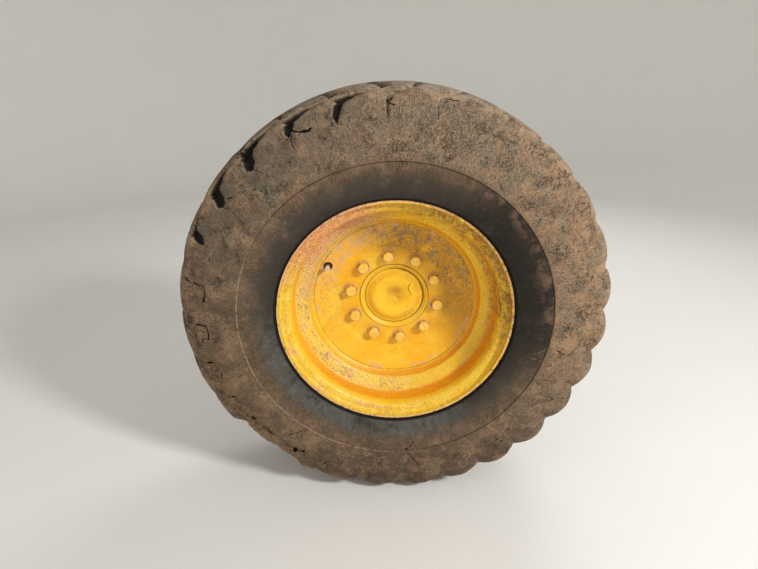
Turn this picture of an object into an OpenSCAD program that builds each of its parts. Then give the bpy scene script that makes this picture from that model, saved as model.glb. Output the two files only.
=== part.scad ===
// Front wheel of a motor grader on its hub, spindle and steering knuckle.
// The wheel's axis lies along Y, outboard is -Y, Z is up and +X is to the rear.
// The origin is where the kingpin's axis crosses the wheel's axis.
// Axial sizes on the wheel start at the flat faces of the bolt heads and grow inboard.

/* [Wheel bolts] */
// Diameter of the circle that the wheel bolts stand on
bolt_circle_d = 285.75; // [280:0.25:292]
// Number of wheel bolts
bolt_count = 10; // [8:1:10]
// Angle of the first bolt, anticlockwise from the top as seen from outboard
bolt_phase = 8.2; // [0:0.1:36]
// Width of a bolt head across its flats
head_af = 31; // [28:0.5:34]
// Height of a bolt head
head_h = 18; // [12:0.5:22]
// Diameter of a bolt's shank
shank_d = 21.6; // [18:0.1:22]
// Length of shank that stands out behind the hub's flange
shank_tail = 6; // [2:0.5:12]
// Diameter of the round washer under a head
washer_d = 46; // [40:0.5:50]
// Thickness of that washer
washer_t = 4; // [2:0.5:5]

/* [Disc] */
// Thickness of the disc's plate
disc_t = 16; // [12:0.5:20]
// How far the disc stays flat beyond the hub's flange
disc_flat_edge = 6; // [2:0.5:14]
// How far the disc's edge stands outboard of its flat middle
disc_dish = 27; // [10:0.5:32]
// Gap between the bolts' washers and the hub's spigot
washer_gap = 7.375; // [4:0.125:10]
// Diameter of a bolt hole in the disc
bolt_hole_d = 25; // [23:0.5:27]
// Leg of the weld bead between disc and rim
weld_leg = 15; // [8:0.5:17]

/* [Rim] */
// Width of the rim between the tyre's two beads
rim_w = 356; // [345:1:370]
// Distance from the disc's flat outer face to the rim's middle plane
rim_offset = 39; // [30:0.5:48]
// Radius of the bead seat beside the flange
seat_r = 327; // [322:0.5:332]
// Taper of the bead seat in degrees
seat_taper = 5; // [0:0.5:6]
// Width of the bead seat
seat_w = 64; // [56:0.5:70]
// Height of the flange over the bead seat
flange_h = 30.7; // [26:0.1:36]
// How far the flange's lip rolls out past the bead's face
lip_reach = 27; // [24:0.5:32]
// Thickness of the rim's wall
rim_wall = 8; // [6:0.5:10]
// Inner radius of the rim's well
well_r = 272; // [264:0.5:278]
// Axial run of the slope from bead seat to well
slope_run = 24; // [18:0.5:30]

/* [Tyre] */
// Outer radius of the worn tread
tyre_r = 666; // [655:0.5:676]
// Greatest width of the tyre
tyre_w = 469; // [455:1:480]
// Radius at which the tyre is widest
bulge_r = 492; // [480:1:505]
// Radius of the sidewall's curve in section
bulge_curve = 319; // [290:1:360]
// Radius of the rounded shoulder in section
shoulder_curve = 46; // [30:1:60]
// How much lower the tread is at its edge than in its middle
crown_drop = 13; // [6:0.5:18]
// Thickness of the carcass at the sidewall
side_t = 22; // [16:0.5:26]
// Thickness of the carcass under the tread
crown_t = 44; // [36:0.5:50]
// Number of lugs on each side of the tread
lug_count = 28; // [24:1:32]
// Clock angle of the first notch between lugs, as seen from outboard
lug_phase = 10.3; // [0:0.1:12.8]
// Width of a notch between two lugs
notch_w = 31; // [20:0.5:40]
// Depth of a notch in the tread
notch_depth = 18; // [10:0.5:24]
// Radius at which a notch runs out on the sidewall
notch_end_r = 583; // [570:1:600]
// Slant of the notches across the tread in degrees
notch_skew = 24; // [0:1:30]

/* [Hub] */
// How far the hub's flange reaches out past the bolt circle
flange_edge = 29.125; // [25:0.125:33]
// Thickness of that flange
hub_flange_t = 22; // [18:0.5:28]
// Distance of the barrel's outside in from the bolt circle
barrel_inset = 42.875; // [38:0.125:46]
// Length of the barrel behind the flange
barrel_l = 154; // [140:1:156]
// Wall of the spigot around the hub cap
spigot_wall = 12.6; // [10:0.1:16]
// How far the cap's edge lies behind the spigot's face
cap_sink = 8; // [5:0.5:12]
// Height of the cap's rounded crest over its edge
cap_crest = 9; // [4:0.5:12]
// Depth of the cone in the cap's middle below its crest
cap_dimple = 12; // [6:0.5:14]
// Thickness of the cap's sheet
cap_t = 3; // [2:0.5:4]

/* [Spindle and knuckle] */
// Radius of the spindle's outer journal
outer_journal_r = 35; // [32:0.5:38]
// Radius of the spindle's inner journal
inner_journal_r = 47.5; // [44:0.5:50]
// Radius of the spindle's shoulder that the seal runs on
shoulder_r = 60; // [56:0.5:62]
// Radius of the flange that bolts to the knuckle
spindle_flange_r = 92; // [90:0.5:94]
// Thickness of that flange
spindle_flange_t = 20; // [16:0.5:24]
// Distance from the knuckle's front face to the kingpin's axis
kingpin_reach = 86; // [82:0.5:96]
// Diameter of the kingpin bore
kingpin_d = 50; // [46:0.5:54]
// Wall of the bush in each ear
bush_wall = 6; // [4:0.5:8]
// Outer radius of the ears
ear_r = 46; // [44:0.5:50]
// Thickness of each ear
ear_t = 50; // [40:1:60]
// Gap between the ears, where the axle's end sits
ear_gap = 120; // [110:1:130]
// Thickness of the web between the ears
web_t = 36; // [30:0.5:40]
// Distance from the kingpin's axis to the tie rod eye, along X
arm_reach = 230; // [200:1:240]
// Diameter of the tie rod eye's hole
eye_d = 30; // [26:0.5:34]
// Thickness of the steering arm
arm_t = 34; // [28:0.5:40]

/* [Valve] */
// Clock angle of the valve as seen from outboard
valve_angle = 298; // [290:0.5:306]
// Distance of the valve stem from the well, towards the wheel's axis
valve_inset = 32; // [28:0.5:38]
// Diameter of the hole in the disc for the valve stem
valve_hole_d = 30; // [26:0.5:34]
// Diameter of the valve stem
stem_d = 12; // [10:0.5:14]
// Length of stem that stands out in front of the disc
stem_out = 20; // [14:0.5:30]

/* [Hidden] */
$fn = 96;
// Radial clearance of the hub on its journals
run_gap = 0.08;
// Gap between pieces that are seated on one body
seat_gap = 0.3;
// Gap between the turning wheel and fixed pieces beside it
turn_gap = 6;
// Gap between the rim's lip and the tyre over it
lip_gap = 3;

// Radii that follow the bolts and the well
pilot_r = (bolt_circle_d - washer_d) / 2 - washer_gap;
spigot_r = pilot_r - seat_gap;
cap_r = spigot_r - spigot_wall;
hub_flange_r = bolt_circle_d / 2 + flange_edge;
barrel_r = bolt_circle_d / 2 - barrel_inset;
disc_flat_r = hub_flange_r + disc_flat_edge;
valve_r = well_r - valve_inset;

// Axial places on the wheel, from the bolt heads' faces
disc_y = head_h + washer_t;
disc_back_y = disc_y + disc_t;
hub_back_y = disc_back_y + hub_flange_t;
barrel_end_y = hub_back_y + barrel_l;
rim_mid_y = disc_y + rim_offset;
screw_head_h = 10;
spindle_flange_y = barrel_end_y + turn_gap + screw_head_h;
knuckle_y = spindle_flange_y + spindle_flange_t;
kingpin_y = knuckle_y + kingpin_reach;

// Points of an arc about c, from angle a0 to a1 in n steps
function arc(c, r, a0, a1, n) = [for (i = [0:n]) let (a = a0 + (a1 - a0) * i / n) c + r * [cos(a), sin(a)]];
function unit(v) = v / norm(v);
function sweep_of(a0, a1) = let (d = a1 - a0) d > 180 ? d - 360 : d < -180 ? d + 360 : d;
// One corner b between a and c, rounded to radius r in n steps
function corner(a, b, c, r, n) =
    let (u = unit(a - b), v = unit(c - b), half = acos(u * v) / 2,
         mid = b + unit(u + v) * r / sin(half), p = b + u * r / tan(half), q = b + v * r / tan(half),
         a0 = atan2(p[1] - mid[1], p[0] - mid[0]), a1 = atan2(q[1] - mid[1], q[0] - mid[0]))
    arc(mid, r, a0, a0 + sweep_of(a0, a1), n);
// A path of [x, y, corner radius] with its corners rounded
function rounded(path, n) =
    [for (i = [0:len(path) - 1])
        let (p = [path[i][0], path[i][1]], r = path[i][2])
        each (i == 0 || i == len(path) - 1 || r == 0) ? [p]
            : corner([path[i - 1][0], path[i - 1][1]], p, [path[i + 1][0], path[i + 1][1]], r, n)];
function flipped(path) = [for (i = [len(path) - 1:-1:0]) path[i]];
function normal_at(p, i) =
    let (d = unit(p[min(i + 1, len(p) - 1)] - p[max(i - 1, 0)])) [-d[1], d[0]];
// A path given a thickness, half on each side
function sheet(p, t) =
    concat([for (i = [0:len(p) - 1]) p[i] + normal_at(p, i) * t / 2],
           flipped([for (i = [0:len(p) - 1]) p[i] - normal_at(p, i) * t / 2]));

// Profiles of [radius, axial place] turned about the wheel's axis
module turned(facets = 96) rotate([-90, 0, 0]) rotate_extrude($fn = facets) children();
module on_wheel() translate([0, -kingpin_y, 0]) children();
module on_rim() translate([0, rim_mid_y - kingpin_y, 0]) children();
// A copy at each wheel bolt, with Y along the bolt
module at_bolts(turn = 0)
    for (k = [0:bolt_count - 1])
        let (a = 90 + bolt_phase + turn - 360 / bolt_count * k)
        translate([cos(a), 0, sin(a)] * bolt_circle_d / 2) children();
// A round bar along +Y
module bar(r, l) rotate([-90, 0, 0]) cylinder(r = r, h = l, $fn = 48);
// A six-sided head along -Z from its seat, with the corners of its face turned off
module hex_head(af, h) {
    intersection() {
        translate([0, 0, -h]) cylinder(d = af / cos(30), h = h, $fn = 6);
        rotate_extrude($fn = 48) polygon([[0, 0], [af, 0], [af, -h], [af * 0.62, -h + af * 0.06], [af * 0.47, -h], [0, -h]]);
    }
}

// Rim
half_w = rim_w / 2;
function seat_at(s) = seat_r - (half_w - s) * tan(seat_taper);
lip_r = seat_r + flange_h;
seat_in = half_w - seat_w;
function rim_side() = [
    [lip_r - rim_wall / 2, half_w + lip_reach, 0],
    [lip_r - rim_wall / 2, half_w + rim_wall / 2, 12],
    [seat_r - rim_wall / 2, half_w + rim_wall / 2, 14],
    [seat_at(seat_in) - rim_wall / 2, seat_in, 12],
    [well_r + rim_wall / 2, seat_in - slope_run, 12]];
function mirrored(path) = flipped([for (p = path) [p[0], -p[1], p[2]]]);
module rim() color("gold") on_rim() turned(144)
    polygon(sheet(rounded(concat(rim_side(), mirrored(rim_side())), 6), rim_wall));

// Disc
dish_slope = disc_dish / (well_r - weld_leg - disc_flat_r);
function disc_face(r) = disc_y - max(0, r - disc_flat_r) * dish_slope;
module disc() color("gold") on_wheel() difference() {
    turned(144) polygon([
        [pilot_r + 2, disc_y], [disc_flat_r, disc_y], [well_r, disc_face(well_r)],
        [well_r, disc_face(well_r) + disc_t], [disc_flat_r, disc_back_y],
        [pilot_r, disc_back_y], [pilot_r, disc_y + 2]]);
    at_bolts() translate([0, -1, 0]) bar(bolt_hole_d / 2, disc_back_y + 2);
    rotate([0, valve_angle, 0]) translate([0, -disc_y * 2, valve_r]) bar(valve_hole_d / 2, disc_y * 4);
}
// Bead along the corner between the disc and the well, on the side where dir points
module weld(dir) {
    r_in = well_r - weld_leg;
    foot = dir < 0 ? 0 : disc_t;
    a = [r_in, disc_face(r_in) + foot];
    b = [well_r, disc_face(well_r) + foot];
    c = [well_r, disc_face(r_in) + foot + dir * weld_leg * 1.1];
    turned(144) polygon([a, b, c, (a + c) / 2 + (b - (a + c) / 2) * 0.18]);
}
module weld_outer() color("goldenrod") on_wheel() weld(-1);
module weld_inner() color("goldenrod") on_wheel() weld(1);

// Tyre
side_s = tyre_w / 2;
bulge_c = [bulge_r, side_s - bulge_curve];
function side_at(r) = bulge_c[1] + sqrt(bulge_curve * bulge_curve - (r - bulge_r) * (r - bulge_r));
bead_toe = seat_in + 26;
heel_s = half_w - seat_gap;
lip_clear_r = lip_r + lip_gap;
// Where the sidewall's curve starts over the lip and ends at the shoulder, outside and inside
wall_foot_r = lip_clear_r + 24;
wall_top_r = tyre_r - 76;
lining_foot_r = seat_r + 73;
lining_top_r = tyre_r - 106;
tread_edge_s = side_at(tyre_r - 26) - 4;
function side_curve(r0, r1, off, n) =
    [for (i = [0:n]) let (r = r0 + (r1 - r0) * i / n) [r, side_at(r) - off]];
// Outside of one half of the tyre, from the bead's toe to the middle of the tread
function tyre_outside() = concat(
    rounded([[seat_at(bead_toe) + seat_gap, bead_toe, 0],
             [seat_at(heel_s) + seat_gap, heel_s, 14],
             [lip_clear_r, heel_s, 9],
             [lip_clear_r, side_at(lip_clear_r + 8), 6],
             [wall_foot_r, side_at(wall_foot_r), 0]], 2),
    side_curve(wall_foot_r + 30, wall_top_r, 0, 6),
    rounded([[wall_top_r + 8, side_at(wall_top_r + 8), 0],
             [tyre_r - crown_drop, tread_edge_s, shoulder_curve],
             [tyre_r - 2, side_s * 0.3, 0]], 5),
    [[tyre_r, 0]]);
function tyre_inside() = concat(
    [[tyre_r - crown_t, 0], [tyre_r - crown_t - 2, side_s * 0.45]],
    rounded([[tyre_r - crown_t - 5, side_s * 0.66, 0], [tyre_r - crown_t - 14, side_s * 0.84, 22],
             [lining_top_r + 24, side_at(lining_top_r + 24) - side_t * 1.1, 0]], 2),
    side_curve(lining_top_r, lining_foot_r, side_t, 3),
    [[seat_r + 22, bead_toe + 16], [seat_at(bead_toe) + 6, bead_toe - 2]]);
function other_half(path) = [for (i = [len(path) - 1:-1:0]) [path[i][0], -path[i][1]]];
// Section of one notch between two lugs, on the side where s is positive
function notch_section() = let (far = tyre_r + 40, out = side_s + 30) [
    [far, side_s * 0.14], [tyre_r + 1, side_s * 0.14], [tyre_r - notch_depth, side_s * 0.24],
    [tyre_r - notch_depth - crown_drop * 0.45, side_s * 0.66],
    [tyre_r - notch_depth - crown_drop - 6, side_s * 0.84],
    [notch_end_r + 16, side_at(notch_end_r + 16) - 8], [notch_end_r, side_at(notch_end_r) + 1],
    [notch_end_r, out], [far, out]];
module notches(side, turn) {
    pivot = side * side_s * 0.9;
    for (k = [0:lug_count - 1])
        rotate([0, lug_phase + turn + 360 / lug_count * k, 0])
            translate([0, pivot, 0]) rotate([0, 0, side * notch_skew]) translate([0, -pivot, 0])
                rotate([0, -90, 0]) linear_extrude(height = notch_w, center = true)
                    polygon([for (p = notch_section()) [p[0], side * p[1]]]);
}
module tyre() color("dimgray") on_rim() difference() {
    turned(168) polygon(concat(tyre_outside(), [for (p = other_half(tyre_outside())) if (p[1] < 0) p],
        [for (p = flipped(tyre_inside())) if (p[1] > 0) [p[0], -p[1]]],
        tyre_inside()));
    notches(-1, 0);
    notches(1, 180 / lug_count);
}

// Hub
cap_edge_y = disc_y - 1 + cap_sink;
skirt_r = cap_r - 4;
skirt_l = 14;
cavity_y = cap_edge_y + skirt_l + 20;
journal_y = cavity_y + 14;
journal_l = 40;
step_y = journal_y + journal_l;
seal_t = 12;
inner_y = barrel_end_y - seal_t - 50;
module hub() color("gold") on_wheel() difference() {
    union() {
        turned(144) polygon([
            [cap_r, cap_edge_y], [spigot_r - 5, disc_y - 1], [spigot_r - 1, disc_y - 1],
            [spigot_r, disc_y], [spigot_r, disc_back_y], [hub_flange_r - 2, disc_back_y],
            [hub_flange_r, disc_back_y + 2], [hub_flange_r, hub_back_y - 3],
            [hub_flange_r - 3, hub_back_y], [barrel_r + 10, hub_back_y],
            [barrel_r + 3, hub_back_y + 3], [barrel_r, hub_back_y + 10],
            [barrel_r - 6, barrel_end_y - 40], [barrel_r - 6, barrel_end_y - 24],
            [barrel_r - 2, barrel_end_y - 18], [barrel_r - 2, barrel_end_y - 2],
            [barrel_r - 4, barrel_end_y], [shoulder_r + 8, barrel_end_y],
            [shoulder_r + 8, barrel_end_y - seal_t], [inner_journal_r + run_gap, barrel_end_y - seal_t],
            [inner_journal_r + run_gap, inner_y], [inner_journal_r + 10, inner_y - 4],
            [inner_journal_r + 10, step_y + 4], [outer_journal_r + run_gap, step_y],
            [outer_journal_r + run_gap, journal_y], [outer_journal_r + 30, journal_y],
            [skirt_r, cavity_y], [skirt_r, cap_edge_y]]);
        for (k = [0:bolt_count - 1])
            rotate([0, -bolt_phase + 360 / bolt_count * (k + 0.5), 0]) rotate([0, -90, 0])
                linear_extrude(height = 12, center = true)
                    polygon([[barrel_r - 10, hub_back_y - 1], [hub_flange_r - 8, hub_back_y - 1],
                             [hub_flange_r - 8, hub_back_y + 4], [barrel_r + 2, hub_back_y + 52],
                             [barrel_r - 10, hub_back_y + 56]]);
    }
    at_bolts() translate([0, disc_back_y - 1, 0]) bar(shank_d / 2 + 0.1, hub_flange_t + 12);
}
// Pressed sheet cap with a round crest and a cone in its middle
module hub_cap() color("gold") on_wheel() turned(144) {
    crest_r = cap_r * 0.68;
    face = [[skirt_r - seat_gap - cap_t / 2, cap_edge_y + skirt_l, 0],
            [skirt_r - seat_gap - cap_t / 2, cap_edge_y + cap_t / 2 - seat_gap, 2],
            [skirt_r - 6, cap_edge_y + cap_t / 2 - seat_gap, 3],
            [crest_r, cap_edge_y - cap_crest, 40],
            [2, cap_edge_y - cap_crest + cap_dimple + 3, 0],
            [0.01, cap_edge_y - cap_crest + cap_dimple + 3, 0]];
    intersection() {
        polygon(sheet(rounded(face, 6), cap_t));
        square([cap_r, 400]);
    }
}
// Lip seal pressed into the hub's inboard end
module hub_seal() color("dimgray") on_wheel() turned() polygon([
    [shoulder_r + seat_gap, barrel_end_y - seal_t + 1], [shoulder_r + 8, barrel_end_y - seal_t + 1],
    [shoulder_r + 8, barrel_end_y - 1], [shoulder_r + 2, barrel_end_y - 1],
    [shoulder_r + seat_gap, barrel_end_y - 4]]);

// Bolts and washers, the heads turned by odd amounts as they were tightened
module wheel_bolts() color("goldenrod") on_wheel()
    for (k = [0:bolt_count - 1])
        let (a = 90 + bolt_phase - 360 / bolt_count * k)
        translate([cos(a), 0, sin(a)] * bolt_circle_d / 2) {
            rotate([-90, k * 23, 0]) translate([0, 0, head_h]) hex_head(head_af, head_h);
            translate([0, head_h - 2, 0]) bar(shank_d / 2, 2 + washer_t + disc_t + hub_flange_t + shank_tail);
        }
module bolt_washers() color("tan") on_wheel() at_bolts() difference() {
    translate([0, head_h, 0]) bar(washer_d / 2, washer_t);
    translate([0, head_h - 1, 0]) bar(shank_d / 2 + 0.6, washer_t + 2);
}

// Valve, rising from the well behind the disc and bent outboard through its hole
stem_back_y = disc_face(valve_r) + disc_t + 26;
bend_r = 14;
module at_valve() on_wheel() rotate([0, valve_angle, 0]) children();
module valve_base() color("dimgray") at_valve()
    translate([0, stem_back_y, well_r - 9.4]) difference() {
        cylinder(r = 13, h = 9, $fn = 48);
        translate([0, 0, -1]) cylinder(d = stem_d + seat_gap, h = 12, $fn = 48);
    }
module valve_stem() color("darkkhaki") at_valve() {
    translate([0, stem_back_y, valve_r + bend_r]) cylinder(d = stem_d, h = well_r - valve_r - bend_r - 1, $fn = 48);
    translate([0, stem_back_y - bend_r, valve_r + bend_r]) rotate([0, 90, 0])
        rotate_extrude(angle = 90, $fn = 48) translate([bend_r, 0]) circle(d = stem_d, $fn = 32);
    translate([0, disc_face(valve_r) - stem_out, valve_r])
        bar(stem_d / 2, stem_back_y - bend_r - disc_face(valve_r) + stem_out);
}
module valve_cap() color("dimgray") at_valve()
    translate([0, disc_face(valve_r) - stem_out - 10, valve_r]) difference() {
        bar(stem_d / 2 + 2, 16);
        translate([0, 10, 0]) bar(stem_d / 2 + 0.1, 8);
    }

// Spindle
screw_n = 8;
screw_r = 8;
screw_circle_r = (shoulder_r + spindle_flange_r) / 2;
module at_screws()
    for (k = [0:screw_n - 1])
        rotate([0, 360 / screw_n * k, 0]) translate([0, 0, screw_circle_r]) children();
module spindle() color("dimgray") on_wheel() difference() {
    turned() polygon([
        [0, journal_y - 8], [outer_journal_r - 3, journal_y - 8], [outer_journal_r, journal_y - 5],
        [outer_journal_r, step_y + 2], [inner_journal_r, inner_y - 2],
        [inner_journal_r, barrel_end_y - seal_t + 4], [shoulder_r - 2, barrel_end_y - seal_t + 4],
        [shoulder_r, barrel_end_y - seal_t + 6], [shoulder_r, spindle_flange_y],
        [spindle_flange_r - 2, spindle_flange_y], [spindle_flange_r, spindle_flange_y + 2],
        [spindle_flange_r, knuckle_y], [0, knuckle_y]]);
    at_screws() translate([0, spindle_flange_y - 1, 0]) bar(screw_r + 0.2, spindle_flange_t + 2);
}
module spindle_screws() color("silver") on_wheel() at_screws() {
    translate([0, spindle_flange_y, 0]) rotate([-90, 0, 0]) hex_head(screw_r * 3 - 1, screw_head_h);
    translate([0, spindle_flange_y, 0]) bar(screw_r, spindle_flange_t + 24);
}

// Knuckle, in its own place about the kingpin
front_y = -kingpin_reach;
web_back_y = front_y + web_t;
ear_top = ear_gap / 2 + ear_t;
front_half_w = spindle_flange_r + 4;
pad_t = 20;
arm_bolt_r = 10;
arm_bolt_z = arm_t / 2 + 19;
module knuckle() color("gold") difference() {
    intersection() {
        translate([-front_half_w - 1, 0, 0]) rotate([90, 0, 90]) linear_extrude(height = 2 * front_half_w + 2)
            offset(r = 10) offset(delta = -10) offset(r = -12) offset(delta = 12) difference() {
                translate([front_y, -ear_top]) square([ear_r - front_y + 1, 2 * ear_top]);
                translate([web_back_y, -ear_gap / 2]) square([200, ear_gap]);
            }
        translate([0, 0, -ear_top - 1]) linear_extrude(height = 2 * ear_top + 2) hull() {
            circle(r = ear_r);
            translate([-front_half_w, front_y]) square([2 * front_half_w, web_t]);
        }
    }
    translate([0, 0, -ear_top - 1]) cylinder(r = kingpin_d / 2 + bush_wall, h = 2 * ear_top + 2);
    translate([0, -kingpin_y, 0]) at_screws() translate([0, knuckle_y - 1, 0]) bar(screw_r + 0.2, 27);
    for (z = [-1, 1]) translate([front_half_w - 31, front_y + web_t / 2, z * arm_bolt_z])
        rotate([0, 90, 0]) cylinder(r = arm_bolt_r + 0.2, h = 32, $fn = 48);
}
module kingpin_bushes() color("peru")
    for (z = [-ear_top, ear_gap / 2]) translate([0, 0, z]) difference() {
        cylinder(r = kingpin_d / 2 + bush_wall, h = ear_t);
        translate([0, 0, -1]) cylinder(d = kingpin_d, h = ear_t + 2);
    }

// Steering arm, bolted to the knuckle's rear side
eye_y = 5;
eye_wall = 13;
arm_half_w = 19;
arm_bend = [arm_reach - 70, front_y + web_t + 4];
pad_edge = 20;
module steering_arm() color("gold") difference() {
    union() {
        translate([front_half_w, front_y, -arm_bolt_z - pad_edge]) cube([pad_t, web_t, 2 * (arm_bolt_z + pad_edge)]);
        translate([0, 0, -arm_t / 2]) linear_extrude(height = arm_t) {
            hull() {
                translate([front_half_w + 2, front_y]) square([pad_t, web_t]);
                translate(arm_bend) circle(r = arm_half_w);
            }
            hull() {
                translate(arm_bend) circle(r = arm_half_w);
                translate([arm_reach, eye_y]) circle(r = arm_half_w);
            }
            translate([arm_reach, eye_y]) circle(r = eye_d / 2 + eye_wall);
        }
    }
    translate([arm_reach, eye_y, -arm_t]) cylinder(d = eye_d, h = 2 * arm_t, $fn = 64);
    for (z = [-1, 1]) translate([front_half_w - 1, front_y + web_t / 2, z * arm_bolt_z])
        rotate([0, 90, 0]) cylinder(r = arm_bolt_r + 0.2, h = pad_t + 2, $fn = 48);
}
module arm_bolts() color("silver")
    for (z = [-1, 1]) translate([front_half_w + pad_t, front_y + web_t / 2, z * arm_bolt_z]) {
        rotate([0, -90, 0]) hex_head(arm_bolt_r * 3, 13);
        translate([-pad_t - 28, 0, 0]) rotate([0, 90, 0]) cylinder(r = arm_bolt_r, h = pad_t + 28, $fn = 48);
    }

tyre();
rim();
disc();
weld_outer();
weld_inner();
hub();
hub_cap();
hub_seal();
wheel_bolts();
bolt_washers();
valve_base();
valve_stem();
valve_cap();
spindle();
spindle_screws();
knuckle();
kingpin_bushes();
steering_arm();
arm_bolts();
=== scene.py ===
"""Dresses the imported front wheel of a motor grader: worn tyre, weathered yellow rim, hub and knuckle."""

import logging
import math
from collections.abc import Callable, Sequence
from dataclasses import dataclass, field
from enum import Enum
from functools import partial

import bmesh
import bpy
import numpy as np
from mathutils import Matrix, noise


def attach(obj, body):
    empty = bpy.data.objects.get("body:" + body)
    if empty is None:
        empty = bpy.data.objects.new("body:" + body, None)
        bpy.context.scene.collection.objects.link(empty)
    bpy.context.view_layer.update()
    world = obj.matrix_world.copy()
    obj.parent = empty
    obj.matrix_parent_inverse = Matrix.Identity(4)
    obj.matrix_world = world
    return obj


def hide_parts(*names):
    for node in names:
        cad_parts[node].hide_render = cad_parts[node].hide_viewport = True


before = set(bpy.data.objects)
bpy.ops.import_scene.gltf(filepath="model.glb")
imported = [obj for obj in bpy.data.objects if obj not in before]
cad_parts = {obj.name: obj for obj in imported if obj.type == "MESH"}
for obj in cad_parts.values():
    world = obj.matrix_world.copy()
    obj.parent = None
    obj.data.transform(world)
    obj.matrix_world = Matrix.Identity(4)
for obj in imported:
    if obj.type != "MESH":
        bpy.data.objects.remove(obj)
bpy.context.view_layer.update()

MM = 0.001
FULL_TURN = 360.0
# Axial place of the kingpin's axis, counted from the bolt heads' faces, as all axial places here are
KINGPIN_Y = 336.0
RIM_MID_Y = 61.0
RIM_HALF = 178.0
SEAT_R = 327.0
SEAT_TAPER = math.tan(math.radians(5.0))
WELL_R = 272.0
DISC_Y = 22.0
DISC_T = 16.0
DISC_FLAT_R = 178.0
DISC_SLOPE = 27.0 / 79.0
BOLT_CIRCLE_R = 142.875
BOLT_COUNT = 10
# Clock angle of the first bolt, in degrees
BOLT_PHASE = -8.2
LOG = logging.getLogger("wheel")


# Colours and shader nodes

def linear(code: str) -> tuple[float, float, float, float]:
    """Turn an sRGB hex colour to linear.

    Args:
        code: colour such as "#F2B42C".

    Returns:
        Linear red, green, blue and an alpha of 1.
    """
    parts = [int(code[i:i + 2], 16) / 255 for i in (1, 3, 5)]
    red, green, blue = (c / 12.92 if c <= 0.04045 else ((c + 0.055) / 1.055) ** 2.4 for c in parts)
    return red, green, blue, 1.0


def add_node(tree: bpy.types.NodeTree, kind: str, inputs: dict | None = None, **settings) -> bpy.types.Node:
    """Add a shader node with its settings and links.

    Args:
        tree: node tree that gets the node.
        kind: Blender's name for the node.
        inputs: socket name or number to a value or to another node's output.
        settings: the node's own properties.

    Returns:
        The new node.
    """
    made = tree.nodes.new(kind)
    for name, value in settings.items():
        setattr(made, name, value)
    for key, value in (inputs or {}).items():
        if isinstance(value, bpy.types.NodeSocket):
            tree.links.new(value, made.inputs[key])
        else:
            made.inputs[key].default_value = value
    return made


class Place(Enum):
    """What a span measures on the wheel."""

    RADIUS = "distance from the wheel's axis, mm"
    CLOCK = "clock angle as seen from outboard, degrees"
    DEPTH = "axial place inboard of the bolt heads' faces, mm"
    BOLT = "distance from the nearest bolt's axis, mm"
    # on the tyre this also carries painted shade in the notches, on the scoops' steps and on the torn edge
    HOLLOW = "how deep in a groove or notch, from 0 to 1"


class Pattern(Enum):
    """The shape of a coat's patches."""

    CLOUDS = "ShaderNodeTexNoise"
    CRAZING = "ShaderNodeTexVoronoi"


@dataclass(frozen=True)
class Span:
    """A stretch of the wheel that a coat keeps to, with soft ends."""

    place: Place
    low: float
    high: float
    fade: float


# Spans by their place, from low to high with the fade at their ends
ring, sector, band, by_bolt, in_hollow = (partial(Span, place) for place in (
    Place.RADIUS, Place.CLOCK, Place.DEPTH, Place.BOLT, Place.HOLLOW))


@dataclass(frozen=True)
class Coat:
    """One colour that lies over a finish in patches, such as wear, rust, dust or a stain."""

    colour: str
    grain: float
    edge: float
    blur: float = 0.03
    strength: float = 1.0
    where: tuple[Span, ...] = ()
    stretch: tuple[float, float, float] | None = None
    roughness: float | None = None
    relief: float = 0.0
    detail: float = 3.0
    pattern: Pattern = Pattern.CLOUDS
    gaps: float = 0.0


@dataclass(frozen=True)
class Finish:
    """A real material and how its surface was made and has aged."""

    name: str
    colour: str
    roughness: float
    metallic: float = 0.0
    ior: float = 1.5
    bumps: tuple[tuple[float, float], ...] = ()
    coats: tuple[Coat, ...] = ()
    lacquer: float = 0.0

    def material(self) -> bpy.types.Material:
        """Make the Blender material, or give the one made before.

        Returns:
            The material.
        """
        made = bpy.data.materials.get(self.name)
        if made is not None:
            return made
        made = bpy.data.materials.new(self.name)
        made.use_nodes = True
        made.diffuse_color = linear(self.colour)
        made.node_tree.nodes.clear()
        colour, roughness, height = Painter(made.node_tree).coated(self)
        add = partial(add_node, made.node_tree)
        bump = add("ShaderNodeBump", {"Strength": 1.0, "Distance": MM, "Height": height})
        inputs = {"Base Color": colour, "Roughness": roughness, "Metallic": self.metallic,
                  "Normal": bump.outputs[0], "Coat Weight": self.lacquer, "Coat Roughness": 0.3}
        if self.metallic == 0.0:
            inputs["IOR"] = self.ior
        shader = add("ShaderNodeBsdfPrincipled", inputs)
        add("ShaderNodeOutputMaterial", {"Surface": shader.outputs[0]})
        return made


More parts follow.
